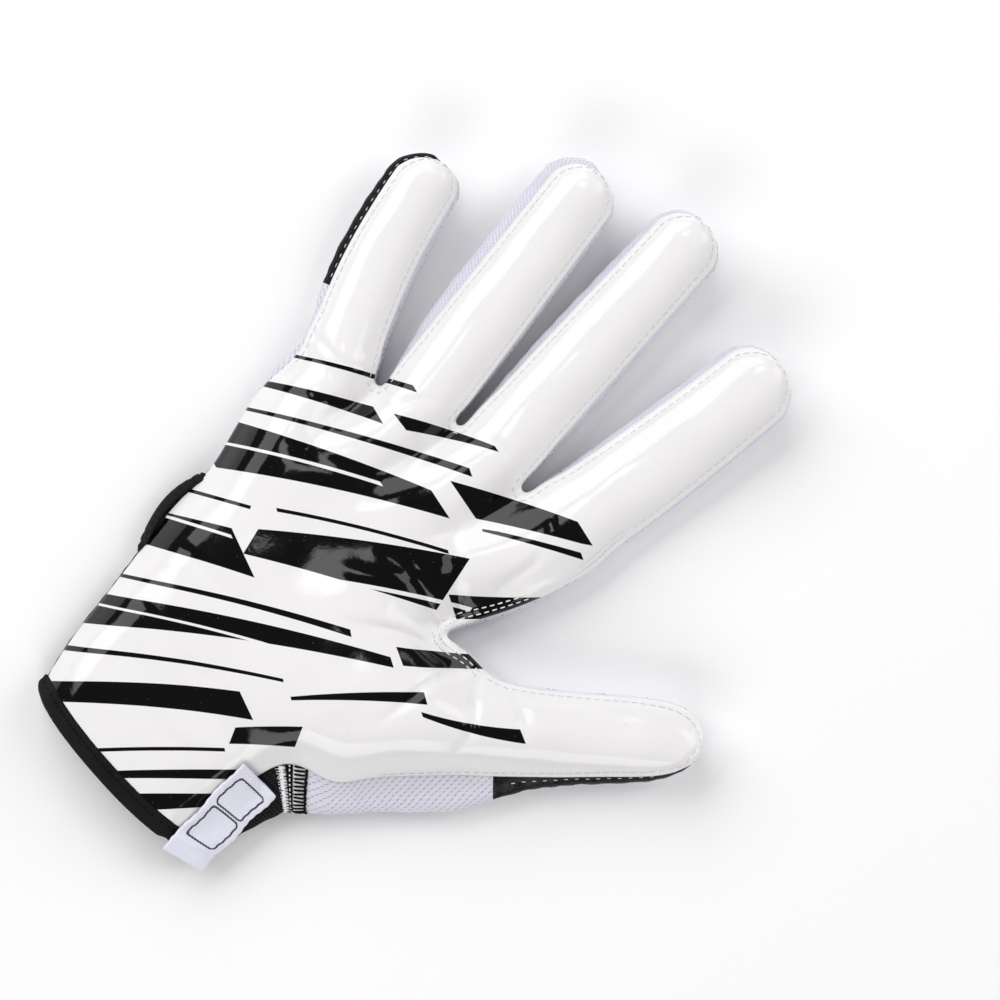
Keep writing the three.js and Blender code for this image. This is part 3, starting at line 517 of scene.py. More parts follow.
def make_piece(name, points, faces, finish, marks):
    mesh = bpy.data.meshes.new(name)
    corners = (np.asarray(points) * MM).tolist()
    mesh.from_pydata(corners, [], [tuple(int(k) for k in face) for face in faces])
    cloth = mesh.attributes.new("cloth", "FLOAT_VECTOR", "POINT")
    cloth.data.foreach_set("vector", np.asarray(marks, dtype=np.float32).ravel())
    mesh.polygons.foreach_set("use_smooth", [True] * len(mesh.polygons))
    mesh.materials.append(finish)
    mesh.update()
    return add_object(name, mesh)


def operation(name, swapped=False):
    """A method that puts its values through one Math node, in their own order or swapped."""
    def method(self, *others):
        values = (*others, self) if swapped else (self, *others)
        return self.node("ShaderNodeMath", {"operation": name}, dict(enumerate(values)))

    return method


class Shade:
    """A value in a material's nodes. Arithmetic on it adds the Math nodes that it needs."""

    def __init__(self, tree, socket=None):
        self.tree, self.socket = tree, socket

    def node(self, kind, settings, values, out=0):
        node = self.tree.nodes.new(kind)
        for key, value in settings.items():
            setattr(node, key, value)
        for key, value in values.items():
            if isinstance(value, Shade):
                self.tree.links.new(value.socket, node.inputs[key])
            else:
                node.inputs[key].default_value = value
        return Shade(self.tree, node.outputs[out])

    __add__ = __radd__ = operation("ADD")
    __sub__, __rsub__ = operation("SUBTRACT"), operation("SUBTRACT", True)
    __mul__ = __rmul__ = operation("MULTIPLY")
    __truediv__, __rtruediv__ = operation("DIVIDE"), operation("DIVIDE", True)
    __pow__ = operation("POWER")
    size, floor, wave = operation("ABSOLUTE"), operation("FLOOR"), operation("SINE")
    least, most = operation("MINIMUM"), operation("MAXIMUM")

    def ripple(self):
        return self.wave() * 0.5 + 0.5

    def rise(self, start, end):
        values = {"Value": self, "From Min": start, "From Max": end}
        return self.node("ShaderNodeMapRange", {"interpolation_type": "SMOOTHSTEP"}, values)

    def cell(self):
        return self - self.floor() - 0.5

    def parts(self):
        split = self.node("ShaderNodeSeparateXYZ", {}, {"Vector": self})
        return [Shade(self.tree, socket) for socket in split.socket.node.outputs]

    def noise(self, scale, detail=2.0, rough=0.5):
        values = {"Vector": self, "Scale": scale, "Detail": detail, "Roughness": rough}
        return self.node("ShaderNodeTexNoise", {}, values)

    def tint(self, low, high):
        """A colour between low, where this is 0, and high, where it is 1. Each is a colour or a Shade."""
        blend = self.tree.nodes.new("ShaderNodeMix")
        blend.data_type = "RGBA"
        self.tree.links.new(self.socket, blend.inputs[0])
        for socket, color in ((blend.inputs[6], low), (blend.inputs[7], high)):
            if isinstance(color, Shade):
                self.tree.links.new(color.socket, socket)
            else:
                socket.default_value = (*color, 1)
        return Shade(self.tree, blend.outputs[2])


def new_finish(name, fixed):
    """A new material with its fixed values set, and the two coordinates that patterns are told in."""
    finish = bpy.data.materials.new(name)
    finish.use_nodes = True
    shader = finish.node_tree.nodes["Principled BSDF"]
    for key, value in fixed.items():
        shader.inputs[key].default_value = value
    start = Shade(finish.node_tree)
    place = start.node("ShaderNodeTexCoord", {}, {}, out="Object")
    cloth = start.node("ShaderNodeAttribute", {"attribute_name": "cloth"}, {}, out="Vector")
    return finish, place, cloth


def wear(finish, color, roughness, height, depth):
    """Links what changes over a surface. height is 0 to 1, and depth says how high 1 is, in mm."""
    tree = finish.node_tree
    shader = tree.nodes["Principled BSDF"]
    values = {"Height": height, "Distance": depth * MM, "Strength": 1.0}
    bump = height.node("ShaderNodeBump", {}, values)
    for key, value in (("Base Color", color), ("Roughness", roughness), ("Normal", bump)):
        tree.links.new(value.socket, shader.inputs[key])


# Each printed bar, told right and down from a point near the middle of the palm as the picture has
# it: where it starts and ends, half its width there, how far its middle bows, and its ends' slant.
BARS = [
    (-24, -44.9, 15, -34.5, 0.4, 0.8, 0.6, 0.7),
    (-34, -37.9, 5, -27.5, 0.6, 1.9, 0.6, 0.75),
    (11, -25.5, 37, -18.3, 1.9, 0.6, 0.5, 0.9),
    (-39, -31.1, 30, -12, 0.42, 1.05, 1.2, 0.4),
    (-45, -21.6, 22, -3.2, 7.4, 2.9, 1.4, 0.85),
    (28, -4.5, 61, 4.8, 4.3, 2.7, 0.4, 0.8),
    (33, 3.4, 60, 10.6, 0.45, 0.9, 0.3, 0.4),
    (-57, -9.7, -29, -2.6, 0.5, 0.5, 0.2, -0.3),
    (-66, 1.1, -31, 9.4, 4.49, 5.7, 0.5, 0.55),
    (-22, -2.0, 24, 9.4, 0.5, 0.5, 0.8, 0.3),
    (-29, 6.6, 25, 18.4, 3.6, 8.2, 0.8, -0.55),
    (25, 24.2, 58, 23.6, 3.3, 2.3, -0.6, 0.3),
    (-73, 14.6, -2, 31.0, 0.43, 0.95, 1.6, 0.2),
    (-80, 24.1, 9, 38.8, 4.5, 1.3, 2.2, 0.35),
    (11, 37.2, 40, 39.4, 2.4, 1.7, -0.4, 0.4),
    (-85, 35.2, -20, 43.6, 0.74, 0.45, 1.4, 0.2),
    (-89, 47.2, -30, 50.4, 2.6, 3.6, 1.3, 0.5),
    (-18, 48.4, 18, 48.4, 0.5, 1.6, 0.6, 0.3),
    (-34, 58.6, -16, 58.8, 2.2, 2.9, 0.2, -0.4),
    (-74, 62.8, -36, 62.4, 0.5, 0.5, 0.4, 0.2),
    (-68, 69.3, -31, 69.3, 1.0, 1.4, 0.3, -0.4),
    (-62, 76.8, -36, 76.4, 2.4, 1.8, 0.2, 0.5),
    (17, 52.6, 44, 58.8, 0.6, 1.9, -0.9, 0.4),
    (50, 45.8, 62, 43.8, 0.8, 0.45, 0.2, 0.4),
]


# Thin gaps that leave the film white along the widest bars, told in the same way.
GAPS = [
    (-70, -4.2, -34, 5.2, 0.42, 0.42, 0.5, 0.55),
    (-52, -22.6, 6, -8.9, 0.35, 0.5, 1.3, 0.85),
    (-12, 16.2, 30, 25.0, 0.5, 0.6, 0.8, -0.55),
    (-88, 21.6, -16, 36.6, 0.3, 0.4, 2.0, 0.35),
    (22, 1.2, 70, 9.4, 0.3, 0.3, 0.3, 0.4),
]


def make_film_finish():
    finish, place, _ = new_finish("grip_film", {"Specular IOR Level": 0.36})
    x, y, _ = place.parts()
    right = (x * PICTURE_RIGHT[0] + y * PICTURE_RIGHT[1]) * (1 / MM)
    down = (x * PICTURE_RIGHT[1] - y * PICTURE_RIGHT[0]) * (1 / MM)

    def all_inside(bars):
        """How far inside the nearest of the bars a place is, in millimetres, or less than 0 outside."""
        most = None
        for u0, v0, u1, v1, w0, w1, bow, slant in bars:
            along = (right - u0) / (u1 - u0)
            off = down - (along * (v1 - v0) + v0) + along * (1 - along) * (4 * bow)
            inside = (along * (w1 - w0) + w0) - off.size()
            start = right - u0 - off * slant
            end = u1 - right + off * slant
            bar = inside.least(start.least(end))
            most = bar if most is None else most.most(bar)
        return most

    soft_edge = 0.06
    ink = all_inside(BARS).least(all_inside(GAPS) * -1).rise(-soft_edge, soft_edge)
    cloud = place.noise(55, 3)
    speck = place.noise(1400, 1).rise(0.75, 0.78)
    white = cloud.tint((0.79, 0.777, 0.778), (0.84, 0.826, 0.827))
    white = (speck * 0.45).tint(white, (0.6, 0.59, 0.57))
    black = cloud.tint((0.0012, 0.0012, 0.0013), (0.003, 0.003, 0.0032))
    black = (speck * 0.5).tint(black, (0.12, 0.12, 0.12))
    rubbed = place.noise(140, 4, 0.65)
    height = place.noise(300, 4, 0.6) * 0.45 + place.noise(50, 2) * 0.55
    wear(finish, ink.tint(white, black), 0.03 + rubbed * 0.1, height, 0.09)
    return finish


# The dents, ridges and fine creases that the hand has left in the film. A fold is a soft rise round
# a place, and a crease runs from one place to another. x, y, long, wide and rise are in millimetres.
FOLDS = [
    (34.9, 0, 62, 19.4, 6.8, -2.4), (44.6, -11.9, -8, 17.5, 4.4, -1.7), (48.5, 15.8, 70, 15.5, 3.4, 1.2),
    (-38.8, 22.4, 18, 11.6, 4.9, -1.7), (-29.1, 27.7, 16, 15.5, 2.9, 1.0), (-4.9, -2.6, 20, 33, 12.6, -1.4),
    (7.8, -66, 8, 21.3, 5.8, -1.0),
]
CREASES = [
    (44, -2, 18, 14, 1.5, -1.5), (44, -6, 10, -2, 1.4, -1.2), (45, -10, 16, -22, 1.6, -1.3),
    (50, -8, 40, -36, 1.5, -1.0), (54, -6, 62, -26, 1.3, -0.9), (58, -3, 76, -14, 1.3, -0.8),
    (48, 12, 54, 32, 1.2, 1.0), (43, 8, 40, 30, 1.4, -0.8), (-46, 25, -24, 31, 1.3, -0.6),
    (-44, 14, -22, 17, 1.6, -0.4), (-20, 28, -4, 36, 1.4, -0.45), (2, 38, 24, 39, 1.5, -0.4),
    (28, 36, 46, 31, 1.4, -0.4), (-34, -42, -4, -36, 2.0, -0.4), (-28, -60, 6, -58, 2.2, -0.45),
    (-10, -78, 20, -75, 1.8, -0.35), (6, -12, 30, 4, 2.2, 0.45), (-30, 2, 2, 8, 2.4, -0.35),
]


def film_relief(x, y):
    """How high the folds, the creases and the film's own slight swell stand at each place."""
    rise = np.zeros_like(x)
    for fx, fy, degrees, long, wide, height in FOLDS:
        c, s = turned(degrees)
        along = (c * (x - fx) + s * (y - fy)) / long
        across = (c * (y - fy) - s * (x - fx)) / wide
        rise += height * np.exp(-along ** 2 - across ** 2)
    bow = 1.6
    for k, (x0, y0, x1, y1, wide, height) in enumerate(CREASES):
        length = math.hypot(x1 - x0, y1 - y0)
        c, s = (x1 - x0) / length, (y1 - y0) / length
        along = ((x - x0) * c + (y - y0) * s) / length
        across = (y - y0) * c - (x - x0) * s - bow * np.sin(along * 5 + k)
        ends = ease(-0.15, 0.2, along) * (1 - ease(0.6, 1.15, along))
        rise += height * ends * np.exp(-(across / wide) ** 2)
    swell = np.sin(0.19 * x + 0.11 * y + 0.6) + np.sin(0.13 * x - 0.23 * y + 2.1)
    swell += 0.6 * np.sin(0.34 * x + 0.29 * y + 4.0) + 0.5 * np.sin(0.41 * x - 0.17 * y + 1.2)
    return rise + 0.08 * swell


def edge_distance(points, rims, reach=6.0):
    """How far each point is from the nearest rim, up to reach."""
    stops = np.concatenate([points[rim] for rim in rims])
    tree = KDTree(len(stops))
    for k, stop in enumerate(stops):
        tree.insert(stop, k)
    tree.balance()
    return np.array([min(reach, tree.find(point)[2]) for point in points])


front_places, front_corners, front_cells, front_parts = make_cage(False)
front, front_quads, _, front_cloth = smoothed(front_corners, front_cells, front_parts, front_corners, 3)
front_rims = rim_of(front_quads)
STITCH_INSET, STITCH_DIP, RIM_DIP = 1.9, 0.3, 0.25


def add_film_relief():
    inside = edge_distance(front, front_rims)
    front[:, 2] += film_relief(front[:, 0], front[:, 1]) * ease(0, 4, inside)
    on_digit = np.maximum(ease(24, 34, front[:, 1]), ease(52, 60, front[:, 0]))
    front[:, 2] -= STITCH_DIP * on_digit * np.exp(-((inside - STITCH_INSET) / 0.8) ** 2)
    front[:, 2] -= RIM_DIP * (1 - ease(0, 1.2, inside))


add_film_relief()
film = make_film_finish()
palm_film = sewn_sheet("palm_film", front, front_quads, front_cloth, FILM_WALL, film)
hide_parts("palm_panel")
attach(palm_film, "root")


# The back of the glove: knit with slanted eyelets over the hand and digits, and below it a black
# cloth round the wrist. Both are cut to the front's pattern, a little wider, and lie on the table.
def eyelets(cloth, across, along):
    """1 in the slanted slits of the knit, which stand in staggered rows, and 0 round them."""
    u, v, _ = cloth.parts()
    row = (v / along).floor()
    shift = row * 0.5 - (row * 0.5).floor()
    du = (u / across + shift).cell() * across
    dv = (v / along).cell() * along
    lean, rise = 0.82, 0.57
    half_long, half_wide = across * 0.27, along * 0.13
    p = (du * lean + dv * rise) / half_long
    q = (dv * lean - du * rise) / half_wide
    return 1 - (p * p + q * q).rise(0.3, 1.4)


def make_knit_finish(name, across, along, slit_shade):
    """Pale knit with fine loops, and slits in cells of across by along mm, painted darker: painted shade
    inside the eyelet holes.
    """
    fixed = {"Sheen Weight": 0.12, "Sheen Roughness": 0.5, "Specular IOR Level": 0.2}
    finish, place, cloth = new_finish(name, fixed)
    u, v, _ = cloth.parts()
    hole = eyelets(cloth, across, along)
    loops = (u * 11.7).wave() * (v * 17.4 + (u * 5.85).wave() * 0.8).wave() * 0.5 + 0.5
    cloud = place.noise(70, 3)
    yarn = (cloud * 0.6 + loops * 0.4).tint((0.69, 0.68, 0.785), (0.81, 0.805, 0.895))
    # The slits' colour is painted shade inside the holes, a little lighter on the loops.
    shaded_slits = loops.tint(slit_shade, [1.3 * part for part in slit_shade])
    wear(finish, hole.tint(yarn, shaded_slits), 0.78 + loops * 0.14, loops * 0.3 + (1 - hole) * 0.7, 0.28)
    return finish


def make_cloth_finish():
    """Black twill: fine diagonal ribs crossed by the weft."""
    fixed = {"Sheen Weight": 0.03, "Sheen Roughness": 0.45, "Specular IOR Level": 0.12}
    finish, place, cloth = new_finish("black_twill", fixed)
    u, v, _ = cloth.parts()
    rib = ((u + v) * 7.4).ripple()
    weft = ((u - v) * 3.1).ripple()
    lint = place.noise(700, 2).rise(0.68, 0.8)
    black = place.noise(60, 3).tint((0.006, 0.006, 0.0075), (0.014, 0.014, 0.0165))
    color = (lint * 0.4).tint(black, (0.12, 0.12, 0.13))
    wear(finish, color, 0.62 + weft * 0.2, rib * 0.7 + weft * 0.3, 0.16)
    return finish


# The last value is the slits' colour, the painted shade inside the holes.
knit = make_knit_finish("eyelet_knit", 2.1, 1.05, (0.4, 0.395, 0.51))
fine_knit = make_knit_finish("fine_knit", 1.3, 0.75, (0.46, 0.455, 0.6))
twill = make_cloth_finish()
back_places, back_corners, back_cells, back_parts = make_cage(True)
back, back_quads, back_part, back_cloth = smoothed(back_corners, back_cells, back_parts, back_corners, 2)
UNEVEN = 0.16
back[:, 2] += UNEVEN * (1 + np.sin(0.33 * back[:, 0] + 0.2 * back[:, 1]) * np.sin(0.27 * back[:, 1] - 0.9))
# Each sheet, in the order of the cage's parts: its name, its finish, and its CAD node and slot.
BACK_SHEETS = [
    ("back_knit", knit, "back_panel", "knit"),
    ("cuff_back_cloth", twill, "cuff_back", "black_cloth"),
]
for part, (name, finish, node, slot) in enumerate(BACK_SHEETS):
    piece = sewn_sheet(name, back, back_quads[back_part == part], back_cloth, KNIT_WALL, finish)
    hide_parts(node)
    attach(piece, "root")


# The side walls: strips of knit between the fingers and round the hand, two gloss black strips at
# the little finger and the thumb, black cloth at the wrist and ribbed elastic on its thumb side.
# Each is sewn in under the film's edge and over the back's edge, and bulges out between them.
WALL_CELLS, WALL_TUCK, TOP_SINK, FOOT_SINK, THUMB_TIP_STAND = 4, 0.45, 0.75, 0.6, 0.1
front_normals = corner_normals(front_corners, front_cells)
back_normals = corner_normals(back_corners, back_cells)


def wall_run():
    """The stops of the walls' one run, from the little finger's side of the wrist round the hand."""
    stops = []

    def add(place, bulge):
        top, foot = front_places[place], back_places[place]
        high = front_corners[top] - front_normals[top] * FILM_WALL * TOP_SINK
        low = back_corners[foot] - back_normals[foot] * KNIT_WALL * FOOT_SINK
        stops.append({"place": place, "bulge": bulge, "top": high, "foot": low})

    def little(row):
        return read_palm("little", row) * LITTLE_SIDE / 2

    def thumb(share):
        return share * THUMB_SIDE * (1 - BACK_SHARE)

    for row in CUTS:
        add(("palm", 0, row), little(row))
    for f in range(4):
        rows = range(1, FINGER_LAST + 1)
        for r in rows:
            add(("finger", f, 0, r), side_stand(f, r, "left") / 2)
        ends = [side_stand(f, FINGER_LAST, side) / 2 for side in ("left", "right")]
        for c in range(1, CELLS):
            add(("finger", f, c, FINGER_LAST), lerp(*ends, c / CELLS))
        for r in reversed(rows):
            add(("finger", f, CELLS, r), side_stand(f, r, "right") / 2)
        last = f * (CELLS + 1) + CELLS
        add(("palm", last, LAST_ROW), side_stand(f, 0, "right") / 2)
        if f < 3:
            add(("palm", last + 1, LAST_ROW), side_stand(f + 1, 0, "left") / 2)
    for row in reversed([row for row in CUTS if THUMB_CROTCH <= row < LAST_ROW]):
        add(("palm", COLUMNS, row), thumb(read_palm("thumb", row)))
    for r in range(1, THUMB_LAST + 1):
        add(("thumb", 0, r), thumb(THUMB_TIP_STAND))
    for c in range(1, THUMB_CELLS):
        add(("thumb", c, THUMB_LAST), thumb(THUMB_TIP_STAND))
    for r in range(THUMB_LAST, 0, -1):
        add(("thumb", THUMB_CELLS, r), thumb(THUMB_ROWS[r]["side"]))
    for row in reversed([row for row in CUTS if row <= THUMB_FOOT]):
        add(("palm", COLUMNS, row), thumb(read_palm("thumb", row)))
    return stops


RUN = wall_run()


def stop_at(*place):
    return next(k for k, stop in enumerate(RUN) if stop["place"] == place)


def wall_out(k):
    before, after = RUN[max(k - 1, 0)]["top"], RUN[min(k + 1, len(RUN) - 1)]["top"]
    x, y = unit(after[:2] - before[:2])
    return np.array([-y, x, 0])


def wall_point(stop, down):
    k = max(0, min(int(stop), len(RUN) - 2))
    a, b, t = RUN[k], RUN[k + 1], stop - k
    out = unit(lerp(wall_out(k), wall_out(k + 1), t))
    base = lerp(lerp(a["top"], b["top"], t), lerp(a["foot"], b["foot"], t), down)
    bulge = lerp(a["bulge"], b["bulge"], t) * math.sin(math.pi * down)
    return base + out * (bulge - WALL_TUCK * abs(2 * down - 1) ** 3)


def make_strip_finish():
    """Gloss black film, embossed all over with small facets."""
    fixed = {"Coat Weight": 0.08, "Coat Roughness": 0.05, "Specular IOR Level": 0.1}
    finish, place, cloth = new_finish("black_strip", fixed)
    facets = {"Vector": cloth, "Scale": 0.55}
    edge = cloth.node("ShaderNodeTexVoronoi", {"feature": "DISTANCE_TO_EDGE"}, facets).rise(0.02, 0.16)
    slope = cloth.node("ShaderNodeTexVoronoi", {"feature": "F1"}, facets)
    rubbed = place.noise(180, 3)
    black = rubbed.tint((0.004, 0.004, 0.005), (0.011, 0.011, 0.012))
    wear(finish, black, 0.2 + rubbed * 0.25, edge * 0.7 + slope * 0.4, 0.22)
    return finish


def make_elastic_finish():
    """Black elastic: close slanted ribs, painted lighter on their crests as painted sheen and darker
    between them as painted shade.
    """
    finish, _, cloth = new_finish("ribbed_elastic", {"Sheen Weight": 0.02, "Specular IOR Level": 0.12})
    u, v, _ = cloth.parts()
    rib = ((u + v * 0.3) * 6.3).ripple()
    thread = (v * 6.8).ripple()
    # The colour follows the ribs' relief: painted sheen on the crests and painted shade between them.
    black = (rib * thread).tint((0.003, 0.003, 0.004), (0.02, 0.02, 0.023))
    wear(finish, black, 0.55 + thread * 0.2, rib * 0.6 + thread * 0.4, 0.4)
    return finish


def tip_stop(f):
    return stop_at("finger", f, 0, FINGER_LAST) + CELLS / 2


black_strip, elastic = make_strip_finish(), make_elastic_finish()
STRAP_END = next(row for row in CUTS if row >= STRAP_LAST + STRAP_FAR)
THUMB_TIP = stop_at("thumb", 0, THUMB_LAST) + THUMB_CELLS / 2
# Each wall: its name, the stop it runs up to, its finish, and its CAD node and slot.
WALLS = [
    ("wrist_side_cloth", stop_at("palm", 0, STRAP_END), twill, "wrist_side", "black_cloth"),
    ("hand_side_knit", stop_at("finger", 0, 0, 3), knit, "hand_side_mesh", "knit"),
    ("pinky_strip", tip_stop(0), black_strip, "pinky_side_strip", "black_film"),
    ("gusset_knit_pinky_ring", tip_stop(1), fine_knit, "gusset_pinky_ring", "knit"),
    ("gusset_knit_ring_middle", tip_stop(2), fine_knit, "gusset_ring_middle", "knit"),
    ("gusset_knit_middle_index", tip_stop(3), fine_knit, "gusset_middle_index", "knit"),
    ("thumb_gusset_knit", THUMB_TIP, fine_knit, "thumb_gusset", "knit"),
    ("thumb_strip", stop_at("thumb", THUMB_CELLS, 6), black_strip, "thumb_side_strip", "black_film"),
    ("thumb_side_knit", stop_at("palm", COLUMNS, THUMB_FOOT), knit, "thumb_side_mesh", "knit"),
    ("wrist_elastic_band", len(RUN) - 1, elastic, "wrist_elastic", "black_elastic"),
]


def grid_cells(lines, across):
    """The cells between neighbouring lines of corners, across cells from each line's start to its end."""
    corners = np.arange(lines * (across + 1)).reshape(lines, across + 1)
    a, b = corners[:-1], corners[1:]
    return np.stack([a[:, :-1], b[:, :-1], b[:, 1:], a[:, 1:]], axis=2).reshape(-1, 4).tolist()


def make_wall_cage():
    ends = [wall[1] for wall in WALLS]
    stops = sorted({float(stop) for stop in [*range(len(RUN)), *ends]})
    points, marks, length = [], [], 0.0
    for i, stop in enumerate(stops):
        if i:
            length += np.linalg.norm(wall_point(stop, 0.5) - wall_point(stops[i - 1], 0.5))
        down = 0.0
        for k in range(WALL_CELLS + 1):
            place = wall_point(stop, k / WALL_CELLS)
            if k:
                down += np.linalg.norm(place - points[-1])
            points.append(place)
            marks.append((length, down, k / WALL_CELLS))
    parts = np.repeat(np.searchsorted(ends, stops[:-1], "right"), WALL_CELLS)
    return np.array(points), grid_cells(len(stops), WALL_CELLS), parts, np.array(marks)


wall, wall_quads, wall_part, wall_cloth = smoothed(*make_wall_cage(), 3)


def pucker_walls():
    """Small gathers where the walls are eased into the seams at their upper and lower edge."""
    normals = corner_normals(wall, wall_quads)
    run, down = wall_cloth[:, 0], wall_cloth[:, 2]
    near_edge = np.sin(np.pi * np.clip(down, 0, 1)) * (0.35 + np.abs(2 * down - 1))
    gather = np.sin(run * 1.05 + 1.7 * np.sin(run * 0.19)) + 0.6 * np.sin(run * 0.47 + 2.0 + 2 * down)
    height = 0.2
    wall[:] += normals * (height * near_edge * gather)[:, None]


pucker_walls()
wall_pieces = {}
for w, (name, _, finish, node, slot) in enumerate(WALLS):
    piece = sewn_sheet(name, wall, wall_quads[wall_part == w], wall_cloth, KNIT_WALL, finish)
    wall_pieces[name] = piece
    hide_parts(node)
    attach(piece, "root")


# The wrist strap: a flat black band across the back that turns up round the little finger's side
# and is sewn in there. Its free end closes with hook and loop on the back.
STRAP_START, STRAP_TAPER = round(0.78 * COLUMNS), 0.2
STRAP_TURNED_UP = (0.75, 0.5, 0.25, 0.08)
STRAP_STEPS = STRAP_START + len(STRAP_TURNED_UP) + 1


def strap_place(step, row):
    """A place on the strap, step cells on from its free end."""
    if step <= STRAP_START:
        return palm_point(STRAP_START - step, row, True)
    down = STRAP_TURNED_UP[step - STRAP_START - 1]
    return wall_point(np.interp(row, CUTS, range(len(CUTS))), down)


def make_strap():
    inner = [row for row in CUTS if STRAP_FIRST + STRAP_NEAR < row < STRAP_LAST - STRAP_NEAR]
    rows = [STRAP_FIRST, *inner, STRAP_LAST]
    lines, marks, length = [], [], 0.0
    for step in range(STRAP_STEPS):
        taper = STRAP_TAPER if step == 0 else 0
        line = [strap_place(step, lerp(row, STRAP_ROW, taper)) for row in rows]
        if step:
            length += np.linalg.norm(line[0] - lines[-1][0])
        wide = [np.linalg.norm(point - line[0]) for point in line]
        marks += [(length, side, side / wide[-1]) for side in wide]
        lines.append(line)
    points = np.array(lines).reshape(-1, 3)
    cells = grid_cells(len(lines), len(rows) - 1)
    points = points + corner_normals(points, cells) * (SEAM_GAP + STRAP_WALL - 0.15)
    band, quads, _, cloth = smoothed(points, cells, [0] * len(cells), np.array(marks), 3)
    # The turned-up end is rounded, and both edges are drawn in along their stitches.
    length, across = cloth[:, 0], cloth[:, 2]
    turned_up = ease(length.max() - 9, length.max() - 2, length)
    band[:, 0] -= 1.3 * turned_up * np.sin(np.pi * np.clip(across, 0, 1))
    edge = np.minimum(across, 1 - across) * STRAP_WIDTH
    band -= corner_normals(band, quads) * (0.2 * np.exp(-((edge - 2.2) / 0.5) ** 2))[:, None]
    return sewn_sheet("strap_band", band, quads, cloth, STRAP_WALL - 0.2, twill), band, quads


strap, strap_points, strap_quads = make_strap()
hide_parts("wrist_strap")
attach(strap, "root")


# The cuff's binding: a matt black woven tape, folded over the raw edge of the mouth from the outside
# to the inside, and stitched through all round in black.
def make_binding_finish():
    finish, place, cloth = new_finish("binding_tape", {"Sheen Weight": 0.03, "Specular IOR Level": 0.1})
    u, v, _ = cloth.parts()
    rib = (u * 8.5).ripple()
    weave = (v * 11.0).ripple()
    black = place.noise(90, 3).tint((0.006, 0.006, 0.0068), (0.0115, 0.0115, 0.0125))
    wear(finish, black, 0.72 + weave * 0.2, rib * 0.6 + weave * 0.4, 0.16)
    return finish


def mouth_line():
    """The raw edge of the mouth, once round, with which way is out of the cloth at each place."""
    def middle(points, normals, places, wall, c):
        k = places[("palm", c, 0)]
        return points[k] - normals[k] * wall / 2

    columns = range(COLUMNS + 1)
    line = [middle(front_corners, front_normals, front_places, FILM_WALL, c) for c in columns]
    line.append(wall_point(len(RUN) - 1, 0.5))
    line += [middle(back_corners, back_normals, back_places, KNIT_WALL, c) for c in reversed(columns)]
    line.append(wall_point(0, 0.5))
    places = []
    for i, place in enumerate(line):
        before, after = line[i - 1], line[(i + 1) % len(line)]
        x, z = unit(np.array([after[0] - before[0], after[2] - before[2]]))
        places.append((place, np.array([-z, 0, x])))
    return places


def make_binding(line):
    # The tape's section, out from the cloth and down from its edge, from the outer leg to the inner.
    section = [(1.0, 0.9), (1.12, -1.0), (1.05, -2.6), (0.75, -3.9), (0, -4.35), (-0.75, -3.9),
               (-1.0, -2.2), (-1.05, 0.4), (-0.55, 0.55), (0.45, 0.95)]
    section_step = 1.3
    # The tape is narrower where the mouth turns round its two sides: most there, less beside them.
    narrow = dict.fromkeys((len(line) - 1, COLUMNS + 1), 0.45)
    narrow.update(dict.fromkeys((len(line) - 2, 0, COLUMNS, COLUMNS + 2), 0.82))
    points, marks, cells = [], [], []
    length = 0.0
    n = len(section)
    for i, (place, outward) in enumerate(line):
        length += np.linalg.norm(place - line[i - 1][0])
        j = (i + 1) % len(line)
        for k, (out, down) in enumerate(section):
            down = down * narrow.get(i, 1) if down < 0 else down
            points.append(place + outward * out + np.array([0, down, 0]))
            marks.append((length, k * section_step, 0))
            cells.append([i * n + k, i * n + (k + 1) % n, j * n + (k + 1) % n, j * n + k])
    points, over_table = np.array(points), 0.25
    points[:, 2] = np.maximum(points[:, 2], over_table)
    tape, quads, _, cloth = smoothed(points, cells, [0] * len(cells), np.array(marks), 3)
    # The tape is drawn in along its row of stitches, a little more and less from place to place.
    groove = np.exp(-((cloth[:, 1] - 1.2) / 0.7) ** 2)
    pull = (0.07 * np.sin(cloth[:, 0] * 2.1) - 0.2) * groove
    tape += corner_normals(tape, quads) * pull[:, None]
    return make_piece("binding_band", tape, quads, make_binding_finish(), cloth), tape, quads


mouth = mouth_line()
binding, binding_points, binding_quads = make_binding(mouth)
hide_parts("cuff_binding")
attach(binding, "root")


# The label tab: a bare white woven tape, sewn down at its upper end, that lies over the elastic and
# the binding and ends in a fold. Two plain frames are woven in, in a darker thread.
TAB_CORNERS = [(24.0, -69.5), (35.7, -70.4), (35.5, -98.6), (24.3, -101.0)]
TAB_WIDTH, TAB_LENGTH, TAB_WALL, TAB_FOLD = 11.5, 30, 0.95, 25


def make_tab_finish():
    finish, place, cloth = new_finish("woven_label", {"Sheen Weight": 0.1, "Specular IOR Level": 0.2})
    u, v, _ = cloth.parts()
    over = (u * 12.5).wave() * (v * 9.5).wave() * 0.5 + 0.5
    twist = ((u + v) * 5.5).ripple()
    frayed = (u * 7.0).wave() * (v * 8.0).wave()
    corner, half_width = 1.1, 4.3

    def frame_line(middle, half_length):
        """1 on the thin line of a frame with round corners."""
        across = ((u - TAB_WIDTH / 2).size() - (half_width - corner)).most(0.0)
        along = ((v - middle).size() - (half_length - corner)).most(0.0)
        past = (across * across + along * along) ** 0.5 - corner
        return 1 - (past.size() - frayed * 0.09).rise(0.2, 0.34)

    frames = frame_line(7.4, 4.7).most(frame_line(18.3, 5.2))
    ground = place.noise(90, 2).tint((0.72, 0.72, 0.84), (0.82, 0.82, 0.93))
    thread = over.tint((0.03, 0.03, 0.035), (0.09, 0.09, 0.1))
    height = over * 0.6 + twist * 0.4 + frames * 0.6
    wear(finish, frames.tint(ground, thread), 0.75 + twist * 0.15, height, 0.14)
    return finish


